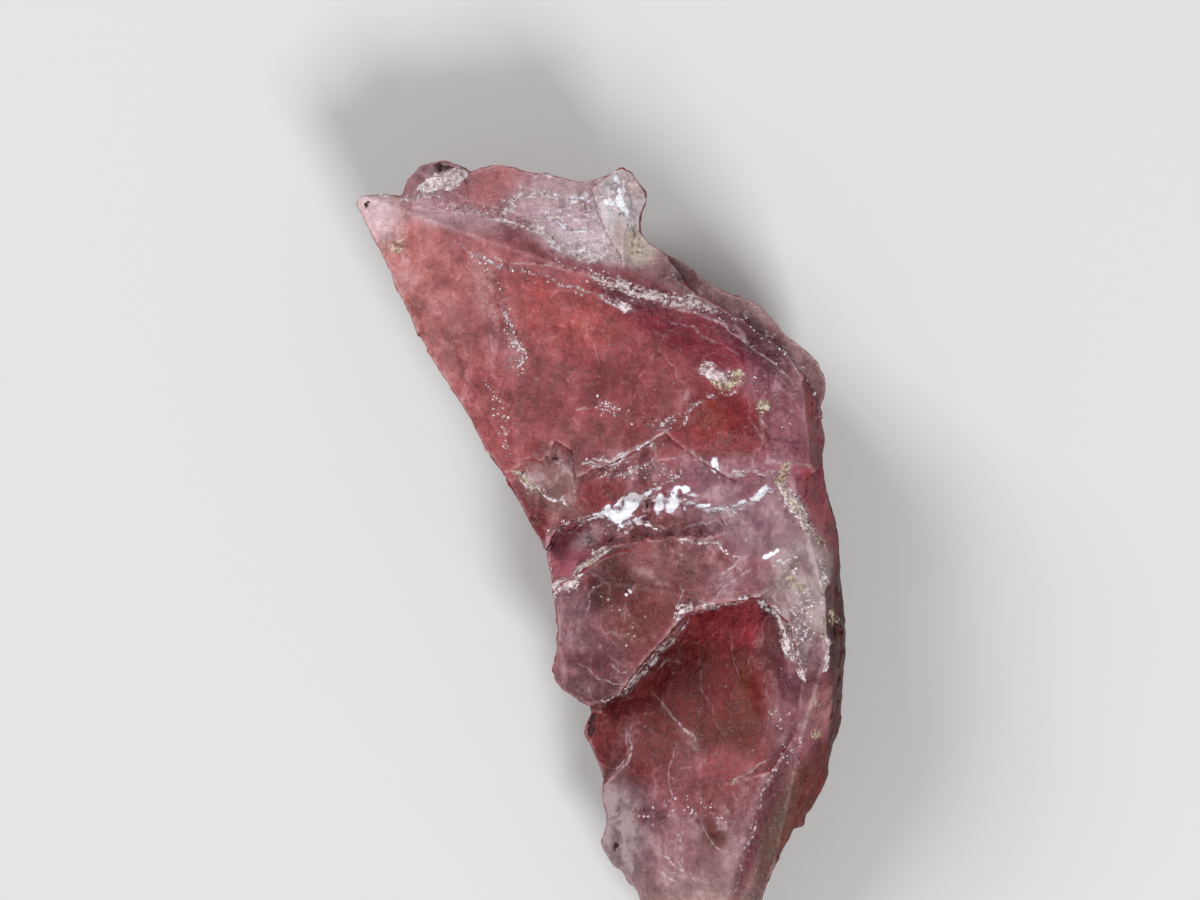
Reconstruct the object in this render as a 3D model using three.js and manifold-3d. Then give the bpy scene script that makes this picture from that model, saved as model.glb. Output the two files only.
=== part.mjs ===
// A broken fragment of pezzottaite, the raspberry-red caesium mineral of the beryl group.
// It is one natural piece: a wedge-shaped shard that lies on its flattest broken face.
// Millimetres. X runs across the shard, Y along it, Z up through its thickness. The origin is
// under its middle, on the face that it rests on.
import * as THREE from "three";
import { mergeVertices } from "three/addons/utils/BufferGeometryUtils.js";
import Module from "manifold-3d";

const wasm = await Module();
wasm.setup();

const LENGTH = 18.0;
const WIDTH = 10.8;
const STOCK_HEIGHT = 7.0; // rough height that the faces are broken out of
const SLIVER = 0.004; // faces thinner than this are merged away
const DISH_STEEPNESS = 1.35; // how much sooner than its middle a dish reaches its depth
const DISH_CLEARANCE = 1.2; // how far past its rim the stock that a dish removes reaches

const CRYSTAL_COLOUR = 0xa8404f;
const CRYSTAL_ROUGHNESS = 0.35;

// Half of each driving size, which the outlines below reach at their far points.
const HALF_WIDTH = WIDTH / 2;
const HALF_LENGTH = LENGTH / 2;

// A flat face through a point. Dip is its slope in degrees, and towards is the compass angle,
// counted from +X to +Y, that it looks out to. A face under the shard looks down.
function face([x, y, z], dip, towards, looks = 1) {
  const slope = THREE.MathUtils.degToRad(dip);
  const angle = THREE.MathUtils.degToRad(towards);
  const outward = new THREE.Vector3(
    Math.sin(slope) * Math.cos(angle),
    Math.sin(slope) * Math.sin(angle),
    Math.cos(slope) * looks,
  );
  return { outward, distance: outward.dot(new THREE.Vector3(x, y, z)) };
}

const upper = (point, dip, towards) => face(point, dip, towards);
const under = (point, dip, towards) => face(point, dip, towards, -1);

// A three.js geometry as a solid.
function solidFrom(geometry) {
  geometry.deleteAttribute("normal");
  geometry.deleteAttribute("uv");
  const merged = mergeVertices(geometry, 1e-4);
  return new wasm.Manifold(
    new wasm.Mesh({
      numProp: 3,
      vertProperties: new Float32Array(merged.attributes.position.array),
      triVerts: new Uint32Array(merged.index.array),
    }),
  );
}

// An outline seen from above, as an upright prism.
function prism(outline) {
  const shape = new THREE.Shape(outline.map(([x, y]) => new THREE.Vector2(x, y)));
  return solidFrom(new THREE.ExtrudeGeometry(shape, { depth: STOCK_HEIGHT, bevelEnabled: false }));
}

// What is left of a solid behind all of the faces.
const brokenTo = (stock, faces) =>
  faces.reduce(
    (solid, { outward, distance }) => solid.trimByPlane(outward.clone().negate().toArray(), -distance),
    stock,
  );

// A block of the shard: a prism broken down to its flat faces.
const block = ({ outline, faces }) => brokenTo(prism(outline), faces);

// An angular hollow: what lies above its floor faces, inside an outline.
const hollow = ({ outline, floors }) =>
  floors.reduce(
    (solid, { outward, distance }) => solid.trimByPlane(outward.toArray(), distance),
    prism(outline),
  );

// A faceted dish pressed into a sloping face: its sides fall from an oval rim, seen from above,
// to a bottom that runs along the face.
function dish({ centre, radii, depth, sides, into }) {
  const slope = (axis) => -into.outward[axis] / into.outward.z;
  const heightAt = ([x, y]) =>
    (into.distance - into.outward.x * x - into.outward.y * y) / into.outward.z;
  const rimAt = (side, reach) => {
    const angle = (side * 2 * Math.PI) / sides;
    return [
      centre[0] + radii[0] * reach * Math.cos(angle),
      centre[1] + radii[1] * reach * Math.sin(angle),
    ];
  };
  const wall = (side) => {
    const [x, y] = rimAt(side, 1);
    const [outX, outY] = [x - centre[0], y - centre[1]];
    const steepness = (DISH_STEEPNESS * depth) / (outX * outX + outY * outY);
    const outward = new THREE.Vector3(
      -slope("x") - steepness * outX,
      -slope("y") - steepness * outY,
      1,
    ).normalize();
    return { outward, distance: outward.dot(new THREE.Vector3(x, y, heightAt([x, y]))) };
  };
  const bottom = { outward: into.outward, distance: into.distance - depth * into.outward.z };
  const every = Array.from({ length: sides }, (_, side) => side);
  return {
    outline: every.map((side) => rimAt(side, DISH_CLEARANCE)),
    floors: [bottom, ...every.map(wall)],
  };
}

// The upper wedge carries the broad smooth face. That face rises from the thin left edge to a
// ridge, and behind the ridge a dark band falls away to the far end.
const broadFace = upper([-HALF_WIDTH, 8.08, 2.4], 24, 206);
const upperWedge = {
  outline: [
    [-HALF_WIDTH, 8.08], [-5.25, 8.19], [-4.74, 8.25], [-4.26, 8.19], [-2.87, 8.2], [-0.89, 7.9],
    [0.87, 7.0], [2.0, 6.05], [3.05, 5.45], [4.05, 4.7], [4.75, 3.75], [4.82, 3.3], [4.94, 2.82],
    [4.72, 2.16], [4.28, 1.79], [3.62, 1.39], [2.96, 1.24], [1.97, 1.39], [1.09, 1.5],
    [0.21, 1.19], [-0.56, 1.04], [-0.98, 0.84], [-1.2, 0.36], [-1.57, 1.1], [-1.95, 1.74],
    [-2.21, 2.16], [-2.54, 2.6], [-2.85, 3.24], [-3.22, 3.85], [-3.64, 4.51], [-3.88, 4.89],
    [-4.1, 5.33], [-4.34, 5.9], [-4.59, 6.36], [-4.74, 6.76], [-4.98, 7.18], [-5.2, 7.66],
  ],
  faces: [
    broadFace,
    upper([-4.5, 7.92, 2.73], 42, 90.5), // the dark band behind the ridge
    upper([3.2, 4.75, 5.15], 20, 355), // the shoulder
    upper([1.3, 1.15, 3.35], 60, 277), // the front of the ledge that it breaks off at
    upper([4.6, 2.5, 4.4], 70, 4), // the right side
    upper([3.6, 5.0, 4.9], 52, 48), // the broken corner above the rim
    under([-5.2, 7.66, 2.05], 48, 208),
    under([-3.2, 4.2, 1.1], 34, 196),
    under([4.9, 3.0, 1.6], 50, 2),
  ],
};

// The lower body, a step below the broad face, and tapering to the lower end.
const lowerBody = {
  outline: [
    [-1.2, 0.36], [-1.18, 0.14], [-1.07, -0.35], [-1.0, -0.83], [-0.93, -1.4], [-0.84, -2.2],
    [-0.6, -2.7], [-0.25, -3.03], [-0.19, -3.23], [-0.34, -3.52], [-0.38, -3.71], [-0.27, -3.85],
    [-0.12, -4.18], [0.01, -4.46], [0.08, -4.7], [0.05, -5.14], [0.14, -5.52], [0.14, -5.8],
    [0.01, -6.09], [0.03, -6.33], [0.25, -6.57], [0.49, -6.75], [0.63, -6.99], [0.8, -7.1],
    [0.87, -7.3], [1.04, -7.85], [1.35, -8.4], [1.86, -8.8], [2.3, -HALF_LENGTH], [2.8, -8.73],
    [3.24, -8.14], [3.6, -7.28], [3.82, -6.66], [4.12, -6.09], [4.28, -5.74], [4.41, -5.78],
    [4.52, -5.72], [4.54, -5.47], [4.74, -5.23], [4.92, -4.9], [5.03, -4.62], [5.05, -4.29],
    [5.14, -3.89], [5.27, -3.67], [5.33, -3.32], [5.36, -2.5], [HALF_WIDTH, -1.8], [5.38, -1.16],
    [5.33, -0.68], [5.25, 0.03], [5.22, 0.58], [5.16, 1.1], [5.03, 1.52], [4.92, 1.96],
    [4.89, 2.49], [4.94, 2.91], [4.85, 3.24], [4.79, 3.55], [4.89, 3.77], [4.92, 4.1],
    [4.79, 4.47], [4.5, 4.78], [3.0, 4.9], [1.5, 3.0],
    [-0.6, 1.6],
  ],
  faces: [
    upper([4.4, 0.2, 4.3], 21.5, 204), // the step below the broad face
    upper([4.95, -1.6, 4.15], 70, 0), // the right side
    upper([4.86, -0.4, 4.33], 60, 14),
    upper([5.05, -2.6, 3.5], 74, 346),
    upper([3.9, -5.2, 3.4], 62, 336), // the right side where it tapers
    upper([3.1, -4.9, 3.1], 22, 262), // the pink face below the large hollow
    upper([1.6, -7.6, 2.5], 36, 258), // the lower end
    upper([0.75, -5.9, 2.3], 34, 192), // the frosted lower left corner
    under([-1.0, -1.5, 1.6], 50, 184),
    under([-0.2, -2.6, 0.9], 30, 200),
    under([0.0, -5.5, 1.35], 45, 196),
    under([2.3, -8.9, 1.3], 42, 268),
    under([3.2, -7.4, 0.7], 28, 300),
    under([4.6, -5.2, 1.4], 50, 332),
    under([5.3, -1.5, 1.5], 54, 0),
    under([4.8, 0.8, 0.7], 32, 12),
  ],
};

// The lens-shaped lobe that stands above the hollow, and overhangs the waist on the left.
const lobe = {
  outline: [
    [-1.05, -0.52], [-1.0, -0.83], [-0.94, -1.4], [-0.96, -1.87], [-1.07, -2.22], [-0.98, -2.5],
    [-0.8, -2.72], [-0.54, -2.88], [-0.25, -3.03], [0.06, -2.94], [0.47, -2.68], [0.87, -2.2],
    [1.35, -1.62], [1.93, -0.96], [2.52, -0.77], [3.51, -0.63], [3.9, -0.26], [3.29, 0.27],
    [2.19, 0.6], [1.09, 0.51], [0.1, 0.25], [-0.56, -0.19],
  ],
  faces: [
    upper([1.9, -0.9, 3.85], 19, 215),
    upper([-0.2, -1.6, 3.1], 34, 190),
    upper([1.0, -0.35, 3.62], 32, 105),
    upper([3.0, -0.2, 4.05], 24, 60),
    under([-1.07, -2.22, 1.9], 40, 205),
  ],
};

// The flaky plate on the dark band, with the small horn at its end.
const plate = {
  outline: [
    [-3.53, 8.19], [-2.9, 8.7], [-2.58, 8.83], [-2.25, 8.87], [-1.92, 8.83], [-1.62, 8.72],
    [-1.2, 8.67], [-0.76, 8.56], [-0.43, 8.47], [-0.1, 8.52], [0.23, 8.67], [0.6, 8.4],
    [0.87, 7.7], [0.87, 7.37], [1.09, 7.09], [1.42, 6.89], [1.97, 6.1], [1.3, 5.95],
    [-0.01, 6.74], [-0.89, 7.22], [-1.88, 7.77], [-2.65, 7.99],
  ],
  faces: [
    upper([0.0, 6.74, 4.02], 22, 92),
    upper([-1.8, 8.1, 3.05], 17, 140),
    upper([1.4, 6.3, 4.3], 32, 30),
  ],
};

const horn = {
  outline: [
    [-0.2, 8.3], [0.23, 8.67], [0.47, 8.8], [0.67, 8.72], [0.8, 8.47], [1.0, 8.28], [0.98, 8.03],
    [0.87, 7.7], [0.87, 7.37], [1.09, 7.09], [1.25, 6.75], [0.5, 6.6], [0.1, 7.4],
  ],
  faces: [
    upper([0.5, 7.8, 3.95], 28, 165),
    upper([0.5, 7.8, 3.95], 46, 5),
    upper([0.5, 8.3, 3.7], 40, 85),
  ],
};

// The lumpy knob beside the pointed corner at the far left.
const knob = {
  outline: [
    [-4.41, 8.12], [-4.32, 8.41], [-4.24, 8.58], [-3.97, 8.87], [-3.51, HALF_LENGTH],
    [-3.16, 8.89], [-2.87, 8.74], [-2.76, 8.43], [-2.87, 8.1], [-3.53, 7.9],
  ],
  faces: [
    upper([-3.55, 8.5, 2.95], 10, 100),
    upper([-3.55, 8.8, 2.75], 50, 95),
    upper([-4.0, 8.5, 2.8], 44, 168),
    upper([-3.1, 8.6, 2.8], 42, 30),
    upper([-3.5, 8.05, 2.85], 36, 268),
  ],
};

// The thin rim along the upper right.
const rim = {
  outline: [
    [1.09, 7.09], [1.42, 6.89], [1.75, 6.76], [2.17, 6.38], [2.69, 6.05], [3.33, 5.86],
    [3.66, 5.59], [4.08, 5.11], [4.5, 4.78], [4.79, 4.47], [4.92, 4.1], [4.89, 3.77],
    [4.79, 3.55], [4.88, 3.3], [3.95, 3.2], [3.0, 4.2], [2.0, 5.0], [1.0, 5.6],
  ],
  faces: [upper([3.4, 5.4, 3.75], 20, 52)],
};

// Undersides that all of the blocks at the far end share.
const farUndersides = [
  under([-2.0, 8.6, 1.9], 40, 86),
  under([-3.6, 7.4, 1.0], 30, 120),
  under([0.8, 7.6, 1.1], 32, 70),
  under([4.5, 4.78, 1.7], 46, 42),
];

// The large deep hollow below the lobe.
const deepHollow = {
  outline: [
    [-0.01, -2.9], [0.87, -2.2], [1.97, -0.92], [2.63, -0.7], [3.51, -0.63], [4.17, -1.25],
    [4.39, -2.46], [4.28, -3.56], [3.73, -4.44], [2.19, -4.88], [0.87, -4.44], [0.21, -3.78],
  ],
  floors: [upper([2.2, -4.7, 2.72], 17, 165), upper([4.35, -2.2, 3.82], 38, 190)],
};

// Smaller angular hollows in the broken middle and at the edges.
const hollows = [
  dish({ centre: [2.72, 3.14], radii: [0.82, 0.62], depth: 0.2, sides: 11, into: broadFace }),
  {
    outline: [
      [-0.9, 1.0], [-0.6, 1.9], [-0.23, 2.1], [0.6, 2.45], [1.42, 2.95], [2.1, 2.4], [2.9, 1.9],
      [3.3, 1.2], [1.0, 0.9],
    ],
    floors: [upper([0.5, 1.6, 3.25], 21.5, 212)],
  },
  {
    outline: [
      [-2.3, 1.9], [-1.55, 2.4], [-1.25, 2.3], [-1.0, 2.8], [-0.62, 2.55], [-0.58, 1.9],
      [-0.7, 1.1], [-1.4, 0.5],
    ],
    floors: [upper([-1.2, 1.7, 2.68], 20, 202)],
  },
  {
    outline: [
      [-0.35, 0.32], [0.3, 0.5], [1.2, 0.66], [2.3, 0.7], [2.75, 0.85], [2.55, 1.3], [1.5, 1.3],
      [-0.3, 0.95],
    ],
    floors: [upper([1.5, 0.8, 3.2], 23, 214)],
  },
  {
    outline: [[-0.4, -3.2], [0.5, -3.3], [0.55, -4.3], [0.1, -4.8], [-0.4, -4.2]],
    floors: [upper([0.2, -3.8, 1.95], 18, 215)],
  },
];

const body = block(upperWedge)
  .add(block(lowerBody).subtract(hollow(deepHollow)))
  .add(block(lobe))
  .add(block(plate))
  .add(block(horn))
  .add(block(rim))
  .add(block(knob));
const crystalSolid = hollows
  .reduce((solid, part) => solid.subtract(hollow(part)), brokenTo(body, farUndersides))
  .simplify(SLIVER);

// The solid as a three.js geometry.
function geometryFrom(solid) {
  const { vertProperties, triVerts } = solid.getMesh();
  const geometry = new THREE.BufferGeometry();
  geometry.setAttribute("position", new THREE.BufferAttribute(vertProperties, 3));
  geometry.setIndex(new THREE.BufferAttribute(triVerts, 1));
  geometry.computeVertexNormals();
  return geometry;
}

const crystal = new THREE.Mesh(
  geometryFrom(crystalSolid),
  new THREE.MeshStandardMaterial({
    color: CRYSTAL_COLOUR,
    roughness: CRYSTAL_ROUGHNESS,
    metalness: 0,
    flatShading: true,
  }),
);
crystal.name = "pezzottaite_crystal";

const specimen = new THREE.Group();
specimen.add(crystal);

export default specimen;
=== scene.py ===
"""A broken shard of pezzottaite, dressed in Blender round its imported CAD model.

The shard lies on its flattest face. Sizes in this file are millimetres in the frame of the CAD
model: X across the shard, Y along it and Z up. Blender's own scene is in metres.
"""

from __future__ import annotations

import logging
import math
from dataclasses import dataclass, field
from enum import Enum
from typing import NamedTuple

import bmesh
import bpy
import numpy as np
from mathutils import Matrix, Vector, noise
from mathutils.bvhtree import BVHTree

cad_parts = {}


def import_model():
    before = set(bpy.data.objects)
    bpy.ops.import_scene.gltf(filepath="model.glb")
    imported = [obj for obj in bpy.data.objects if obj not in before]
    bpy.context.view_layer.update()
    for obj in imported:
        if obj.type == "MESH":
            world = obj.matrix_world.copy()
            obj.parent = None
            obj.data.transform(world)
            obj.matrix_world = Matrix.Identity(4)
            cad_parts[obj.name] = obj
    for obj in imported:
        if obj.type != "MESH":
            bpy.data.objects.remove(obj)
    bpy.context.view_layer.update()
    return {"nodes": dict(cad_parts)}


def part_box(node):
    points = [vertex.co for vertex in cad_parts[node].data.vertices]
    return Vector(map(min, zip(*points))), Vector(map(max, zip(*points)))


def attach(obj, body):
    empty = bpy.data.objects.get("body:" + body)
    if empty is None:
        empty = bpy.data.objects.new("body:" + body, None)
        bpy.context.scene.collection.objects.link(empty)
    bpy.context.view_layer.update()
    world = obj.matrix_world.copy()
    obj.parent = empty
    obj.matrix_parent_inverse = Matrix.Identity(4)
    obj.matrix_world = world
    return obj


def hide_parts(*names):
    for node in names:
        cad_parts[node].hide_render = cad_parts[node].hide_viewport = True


log = logging.getLogger("shard")

NODE = "pezzottaite_crystal"
METRE = 1000.0  # millimetres in a metre
SEED = 7
CHIP_SCALE = 2.6  # small fracture facets to the millimetre

Value = float | tuple[float, ...] | bpy.types.NodeSocket  # what an input of a node takes


class Mark(Enum):
    """What a mark on a broken face is made of; a glint is a highlight painted there."""

    VEIN = "white fractured crystal"
    # GLINT is painted highlight: a near-white colour where a step would catch the light.
    GLINT = "a bright step that catches the light"
    CRUMB = "white crumbs left in a line"
    HAZE = "soft haze inside the crystal"
    HAIR = "a hair-thin bright line"
    CLAY = "pale clay"
    # CRACK also paints shadow, as in the shadow in the ledge's block.
    CRACK = "a dark crack"


@dataclass(frozen=True)
class Stroke:
    """One mark on the upper faces, drawn along a line in plan."""

    name: str
    mark: Mark
    width: float
    strength: float
    points: tuple[tuple[float, float], ...]


@dataclass(frozen=True)
class Patch:
    """A soft patch of one tint on the upper faces, as an oval in plan."""

    name: str
    centre: tuple[float, float]
    radii: tuple[float, float]
    turn: float
    colour: tuple[int, int, int]
    veil: float


STROKES: tuple[Stroke, ...] = (
    Stroke("along the back of the pointed corner", Mark.VEIN, 0.1, 0.55,
           ((-4.45, 8.16), (-3.49, 8.09), (-2.64, 7.82), (-2.05, 7.95), (-1.47, 8.23), (-0.61, 8.16),
            (0.24, 8.23))),
    Stroke("bright knot in that vein", Mark.VEIN, 0.22, 0.8, ((-2.27, 7.87), (-1.84, 8.06))),
    Stroke("plate's first stria", Mark.VEIN, 0.06, 1.3,
           ((-1.76, 8.16), (-1.15, 8.23), (-0.4, 8.12), (0.16, 8.16))),
    Stroke("plate's fifth stria", Mark.VEIN, 0.05, 1.2,
           ((-2.53, 7.66), (-1.79, 7.52), (-1.15, 7.23), (-0.4, 6.88))),
    Stroke("plate's short striae", Mark.VEIN, 0.05, 1.1, ((-1.15, 8.03), (-0.72, 7.93), (-0.19, 7.91))),
    Stroke("horn's right edge", Mark.VEIN, 0.06, 0.9, ((0.56, 8.67), (0.9, 8.3), (0.8, 7.82))),
    Stroke("rim above the oval", Mark.VEIN, 0.13, 0.45, ((1.36, 3.02), (1.73, 3.43), (2.27, 3.66))),
    Stroke("rim right of the oval", Mark.VEIN, 0.13, 0.4, ((3.44, 3.45), (3.71, 3.02), (3.76, 2.49))),
    Stroke("thin rim's haze", Mark.HAZE, 0.25, 0.35, ((1.2, 6.86), (2.37, 6.22), (3.65, 5.37))),
    Stroke("shoulder's haze", Mark.HAZE, 0.45, 0.4, ((3.87, 3.45), (3.65, 2.6), (2.8, 2.17))),
    Stroke("haze below the oval", Mark.HAZE, 0.32, 0.5, ((1.95, 2.49), (2.69, 2.06), (3.65, 2.06))),
    Stroke("pale facet's haze", Mark.HAZE, 0.45, 0.6, ((2.69, 1.0), (3.44, 0.89), (3.87, 1.1))),
    Stroke("left notch's haze", Mark.HAZE, 0.35, 0.55, ((-1.57, 2.06), (-0.93, 1.53), (-1.04, 1.0))),
    Stroke("haze left of the waist", Mark.HAZE, 0.2, 0.5, ((-0.93, 1.0), (-0.29, 0.57))),
    Stroke("haze under the main ledge", Mark.HAZE, 0.25, 0.4, ((-0.19, 1.0), (0.67, 0.78), (1.52, 0.89))),
    Stroke("lobe's left haze", Mark.HAZE, 0.32, 0.6,
           ((-0.88, -0.82), (-0.93, -1.88), (-0.61, -2.63), (0.03, -2.9))),
    Stroke("haze along the lobe's lower line", Mark.HAZE, 0.2, 0.5,
           ((0.35, -2.84), (1.09, -2.1), (1.63, -1.35))),
    Stroke("haze right of the lobe", Mark.HAZE, 0.32, 0.5, ((1.95, -0.5), (2.8, -0.18), (3.44, -0.18))),
    Stroke("lobe's top haze", Mark.HAZE, 0.2, 0.4, ((0.67, 0.36), (1.73, 0.36), (3.01, 0.25))),
    Stroke("frost patch's upper half", Mark.HAZE, 0.42, 0.8, ((3.87, 0.25), (4.51, 0.04), (4.51, -0.5))),
    Stroke("frost patch's lower half", Mark.HAZE, 0.36, 0.8, ((4.13, -0.71), (4.45, -1.35), (4.45, -2.04))),
    Stroke("haze right of the hollow", Mark.HAZE, 0.4, 0.4, ((3.87, -2.2), (4.24, -3.16), (3.87, -4.34))),
    Stroke("haze in the hollow's right wall", Mark.HAZE, 0.22, 0.35, ((3.71, -1.56), (3.71, -2.63))),
    Stroke("haze left of the hollow", Mark.HAZE, 0.16, 0.6, ((0.72, -3.11), (0.61, -3.91), (0.29, -4.66))),
    Stroke("pink face's first streak", Mark.HAZE, 0.14, 0.5, ((1.2, -3.54), (1.25, -4.66), (0.93, -5.94))),
    Stroke("pink face's second streak", Mark.HAZE, 0.12, 0.4,
           ((1.79, -3.86), (1.73, -4.76), (1.52, -5.72))),
    Stroke("pink face's third streak", Mark.HAZE, 0.16, 0.5, ((2.59, -4.12), (2.21, -5.4), (1.95, -6.47))),
    Stroke("pink face's fourth streak", Mark.HAZE, 0.2, 0.5, ((3.33, -4.34), (2.96, -5.51), (2.69, -6.79))),
    Stroke("lower left haze", Mark.HAZE, 0.4, 1.0, ((0.29, -4.92), (0.37, -5.83), (0.72, -6.68))),
    Stroke("lower middle haze", Mark.HAZE, 0.5, 0.7, ((1.09, -5.83), (1.73, -6.36), (1.52, -7.22))),
    Stroke("lower end's haze", Mark.HAZE, 0.55, 0.6, ((2.16, -6.79), (2.21, -7.64), (2.05, -8.5))),
    Stroke("broad face's left haze", Mark.HAZE, 0.5, 0.45, ((-4.56, 6.86), (-3.7, 5.15), (-2.85, 3.45))),
    Stroke("broad face's first haze", Mark.HAZE, 0.26, 0.55, ((-2.85, 6.86), (-2.32, 5.37), (-2.21, 3.45))),
    Stroke("broad face's second haze", Mark.HAZE, 0.22, 0.3, ((-1.25, 6.54), (-0.72, 5.9), (-0.19, 4.73))),
    Stroke("knob's haze", Mark.HAZE, 0.18, 0.6, ((-4.08, 8.3), (-3.22, 8.55))),
    Stroke("rim end's haze", Mark.HAZE, 0.28, 0.45, ((4.19, 4.94), (4.77, 4.09))),
    Stroke("lobe's first scratch", Mark.HAIR, 0.022, 0.9, ((0.16, -2.12), (0.43, -2.27), (0.59, -2.28))),
    Stroke("lobe's long scratch", Mark.HAIR, 0.02, 0.7,
           ((-0.55, -2.05), (-0.07, -2.45), (0.43, -2.53), (0.71, -2.53))),
    Stroke("lobe's short scratch", Mark.HAIR, 0.02, 0.7, ((0.04, -1.48), (0.21, -1.36))),
    Stroke("lobe's upper scratch", Mark.HAIR, 0.02, 0.5, ((-0.35, -1.08), (-0.24, -0.6), (0.08, -0.18))),
    Stroke("hollow's hooked scratch", Mark.HAIR, 0.02, 0.8, ((1.21, -2.33), (1.42, -2.03), (1.87, -2.09))),
    Stroke("hollow's bent scratch", Mark.HAIR, 0.02, 0.35,
           ((2.11, -1.88), (2.24, -2.69), (2.51, -3.2), (2.69, -3.7))),
    Stroke("hollow's steep scratch", Mark.HAIR, 0.018, 0.5, ((2.8, -1.24), (2.93, -1.88), (3.07, -2.63))),
    Stroke("hollow's right scratch", Mark.HAIR, 0.018, 0.3, ((3.65, -2.31), (3.71, -2.95), (3.65, -3.7))),
    Stroke("pink face's first scratch", Mark.HAIR, 0.02, 0.6, ((1.73, -3.7), (1.54, -4.44), (1.63, -5.3))),
    Stroke("pink face's second scratch", Mark.HAIR, 0.02, 0.8,
           ((2.21, -5.51), (2.37, -5.94), (2.8, -6.31))),
    Stroke("pink face's third scratch", Mark.HAIR, 0.022, 0.9,
           ((1.25, -6.36), (1.73, -6.58), (2.16, -7.0))),
    Stroke("pink face's rim scratch", Mark.HAIR, 0.022, 0.7, ((2.8, -4.76), (3.44, -4.34), (3.87, -4.04))),
    Stroke("ridge line's second strand", Mark.HAIR, 0.025, 0.7,
           ((-2.85, 6.99), (-1.89, 6.7), (-0.61, 6.49))),
    Stroke("ridge line's third strand", Mark.HAIR, 0.02, 0.6,
           ((-3.22, 7.18), (-2.53, 6.81), (-1.89, 6.49))),
    Stroke("band's first scratch", Mark.HAIR, 0.02, 0.6,
           ((-3.6, 7.82), (-2.53, 7.71), (-1.25, 7.23), (-0.19, 6.75))),
    Stroke("band's second scratch", Mark.HAIR, 0.022, 0.7,
           ((1.73, 5.79), (2.8, 5.26), (3.87, 4.41), (4.51, 3.77))),
    Stroke("band's third scratch", Mark.HAIR, 0.02, 0.6, ((1.09, 5.9), (2.37, 5.45), (3.33, 4.94))),
    Stroke("band's fourth scratch", Mark.HAIR, 0.02, 0.5, ((1.31, 5.53), (2.16, 5.15), (3.12, 4.6))),
    Stroke("shoulder's first scratch", Mark.HAIR, 0.02, 0.5, ((3.65, 4.3), (4.08, 3.88), (4.51, 3.29))),
    Stroke("shoulder's second scratch", Mark.HAIR, 0.02, 0.5, ((3.23, 3.45), (3.46, 2.81), (3.33, 2.17))),
    Stroke("broad face's short scratch", Mark.HAIR, 0.022, 0.8, ((-0.63, 3.49), (-0.27, 3.54))),
    Stroke("broad face's spot scratch", Mark.HAIR, 0.02, 0.6, ((-0.19, 4.94), (-0.03, 4.41))),
    Stroke("broken middle's long line", Mark.HAIR, 0.024, 0.8,
           ((-0.4, 2.25), (0.35, 2.44), (1.09, 2.86), (1.73, 3.13))),
    Stroke("broken middle's second line", Mark.HAIR, 0.024, 0.7,
           ((-0.19, 1.9), (0.56, 2.06), (1.31, 2.44), (1.95, 2.49))),
    Stroke("broken middle's steep line", Mark.HAIR, 0.024, 0.7, ((1.09, 2.89), (1.25, 2.54), (1.09, 2.06))),
    Stroke("line left of the middle", Mark.HAIR, 0.02, 0.6, ((-0.59, 2.6), (-0.63, 1.96), (-0.57, 1.26))),
    Stroke("waist's first ribbon", Mark.HAIR, 0.03, 1.0, ((-0.18, 1.09), (0.27, 1.32))),
    Stroke("waist's second ribbon", Mark.HAIR, 0.028, 0.9, ((-0.0, 0.92), (0.3, 1.03), (0.67, 0.97))),
    Stroke("waist's long ribbon", Mark.HAIR, 0.03, 0.9,
           ((0.36, 0.73), (0.61, 0.87), (1.12, 1.0), (1.52, 0.83))),
    Stroke("waist's right ribbon", Mark.HAIR, 0.024, 0.7, ((1.73, 0.89), (2.37, 1.0), (2.8, 0.89))),
    Stroke("crescent's line", Mark.HAIR, 0.03, 0.9, ((2.43, 1.19), (3.12, 1.32), (3.67, 1.74))),
    Stroke("lobe's right scratch", Mark.HAIR, 0.022, 0.7, ((2.37, -0.82), (2.69, -0.39), (3.33, 0.04))),
    Stroke("lobe's corner scratch", Mark.HAIR, 0.022, 0.8, ((1.73, -0.18), (1.8, -0.6), (1.65, -0.98))),
    Stroke("left edge's line", Mark.HAIR, 0.03, 0.7, ((-1.2, 0.89), (-1.15, 0.36), (-1.04, -0.34))),
    Stroke("lump on the right side", Mark.CLAY, 0.12, 0.8, ((5.02, -0.9), (5.15, -1.16))),
    Stroke("edge of the frost patch", Mark.CLAY, 0.09, 0.7, ((4.83, -1.14), (4.89, -1.56))),
    Stroke("olive spot on the right", Mark.CLAY, 0.12, 0.6, ((4.67, -3.61), (4.85, -3.68))),
    Stroke("bright crumb on the pink face", Mark.CLAY, 0.07, 1.2, ((2.89, -4.68), (2.97, -4.74))),
    Stroke("crumbs down the left edge", Mark.CRUMB, 0.09, 0.8,
           ((-1.17, 0.94), (-1.17, 0.36), (-1.07, -0.23))),
    Stroke("crumbs left of the ledge", Mark.CRUMB, 0.12, 0.7,
           ((-0.93, 1.05), (-0.51, 0.76), (-0.27, 0.51))),
    Stroke("crumbs on the shoulder", Mark.CRUMB, 0.1, 0.6, ((2.11, 4.41), (2.69, 4.2), (3.12, 4.09))),
    Stroke("speck on the lobe", Mark.GLINT, 0.035, 1.2, ((0.6, -0.6), (0.69, -0.5))),
    Stroke("glint at the lobe corner", Mark.GLINT, 0.05, 1.2, ((1.8, -1.31), (1.88, -1.24))),
    Stroke("glint in the red notch", Mark.GLINT, 0.035, 1.0, ((0.09, -4.12), (0.11, -4.23))),
    Stroke("glint right of the hollow", Mark.GLINT, 0.04, 1.1, ((3.79, -3.22), (3.85, -3.27))),
    Stroke("main ledge", Mark.VEIN, 0.11, 0.9,
           ((-0.51, 1.05), (0.03, 1.19), (0.67, 1.48), (1.63, 1.53), (2.37, 1.26), (3.12, 1.4),
            (3.71, 1.76))),
    Stroke("step below it", Mark.GLINT, 0.06, 1.1, ((-0.19, 1.1), (0.11, 1.23), (0.24, 1.4))),
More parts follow.
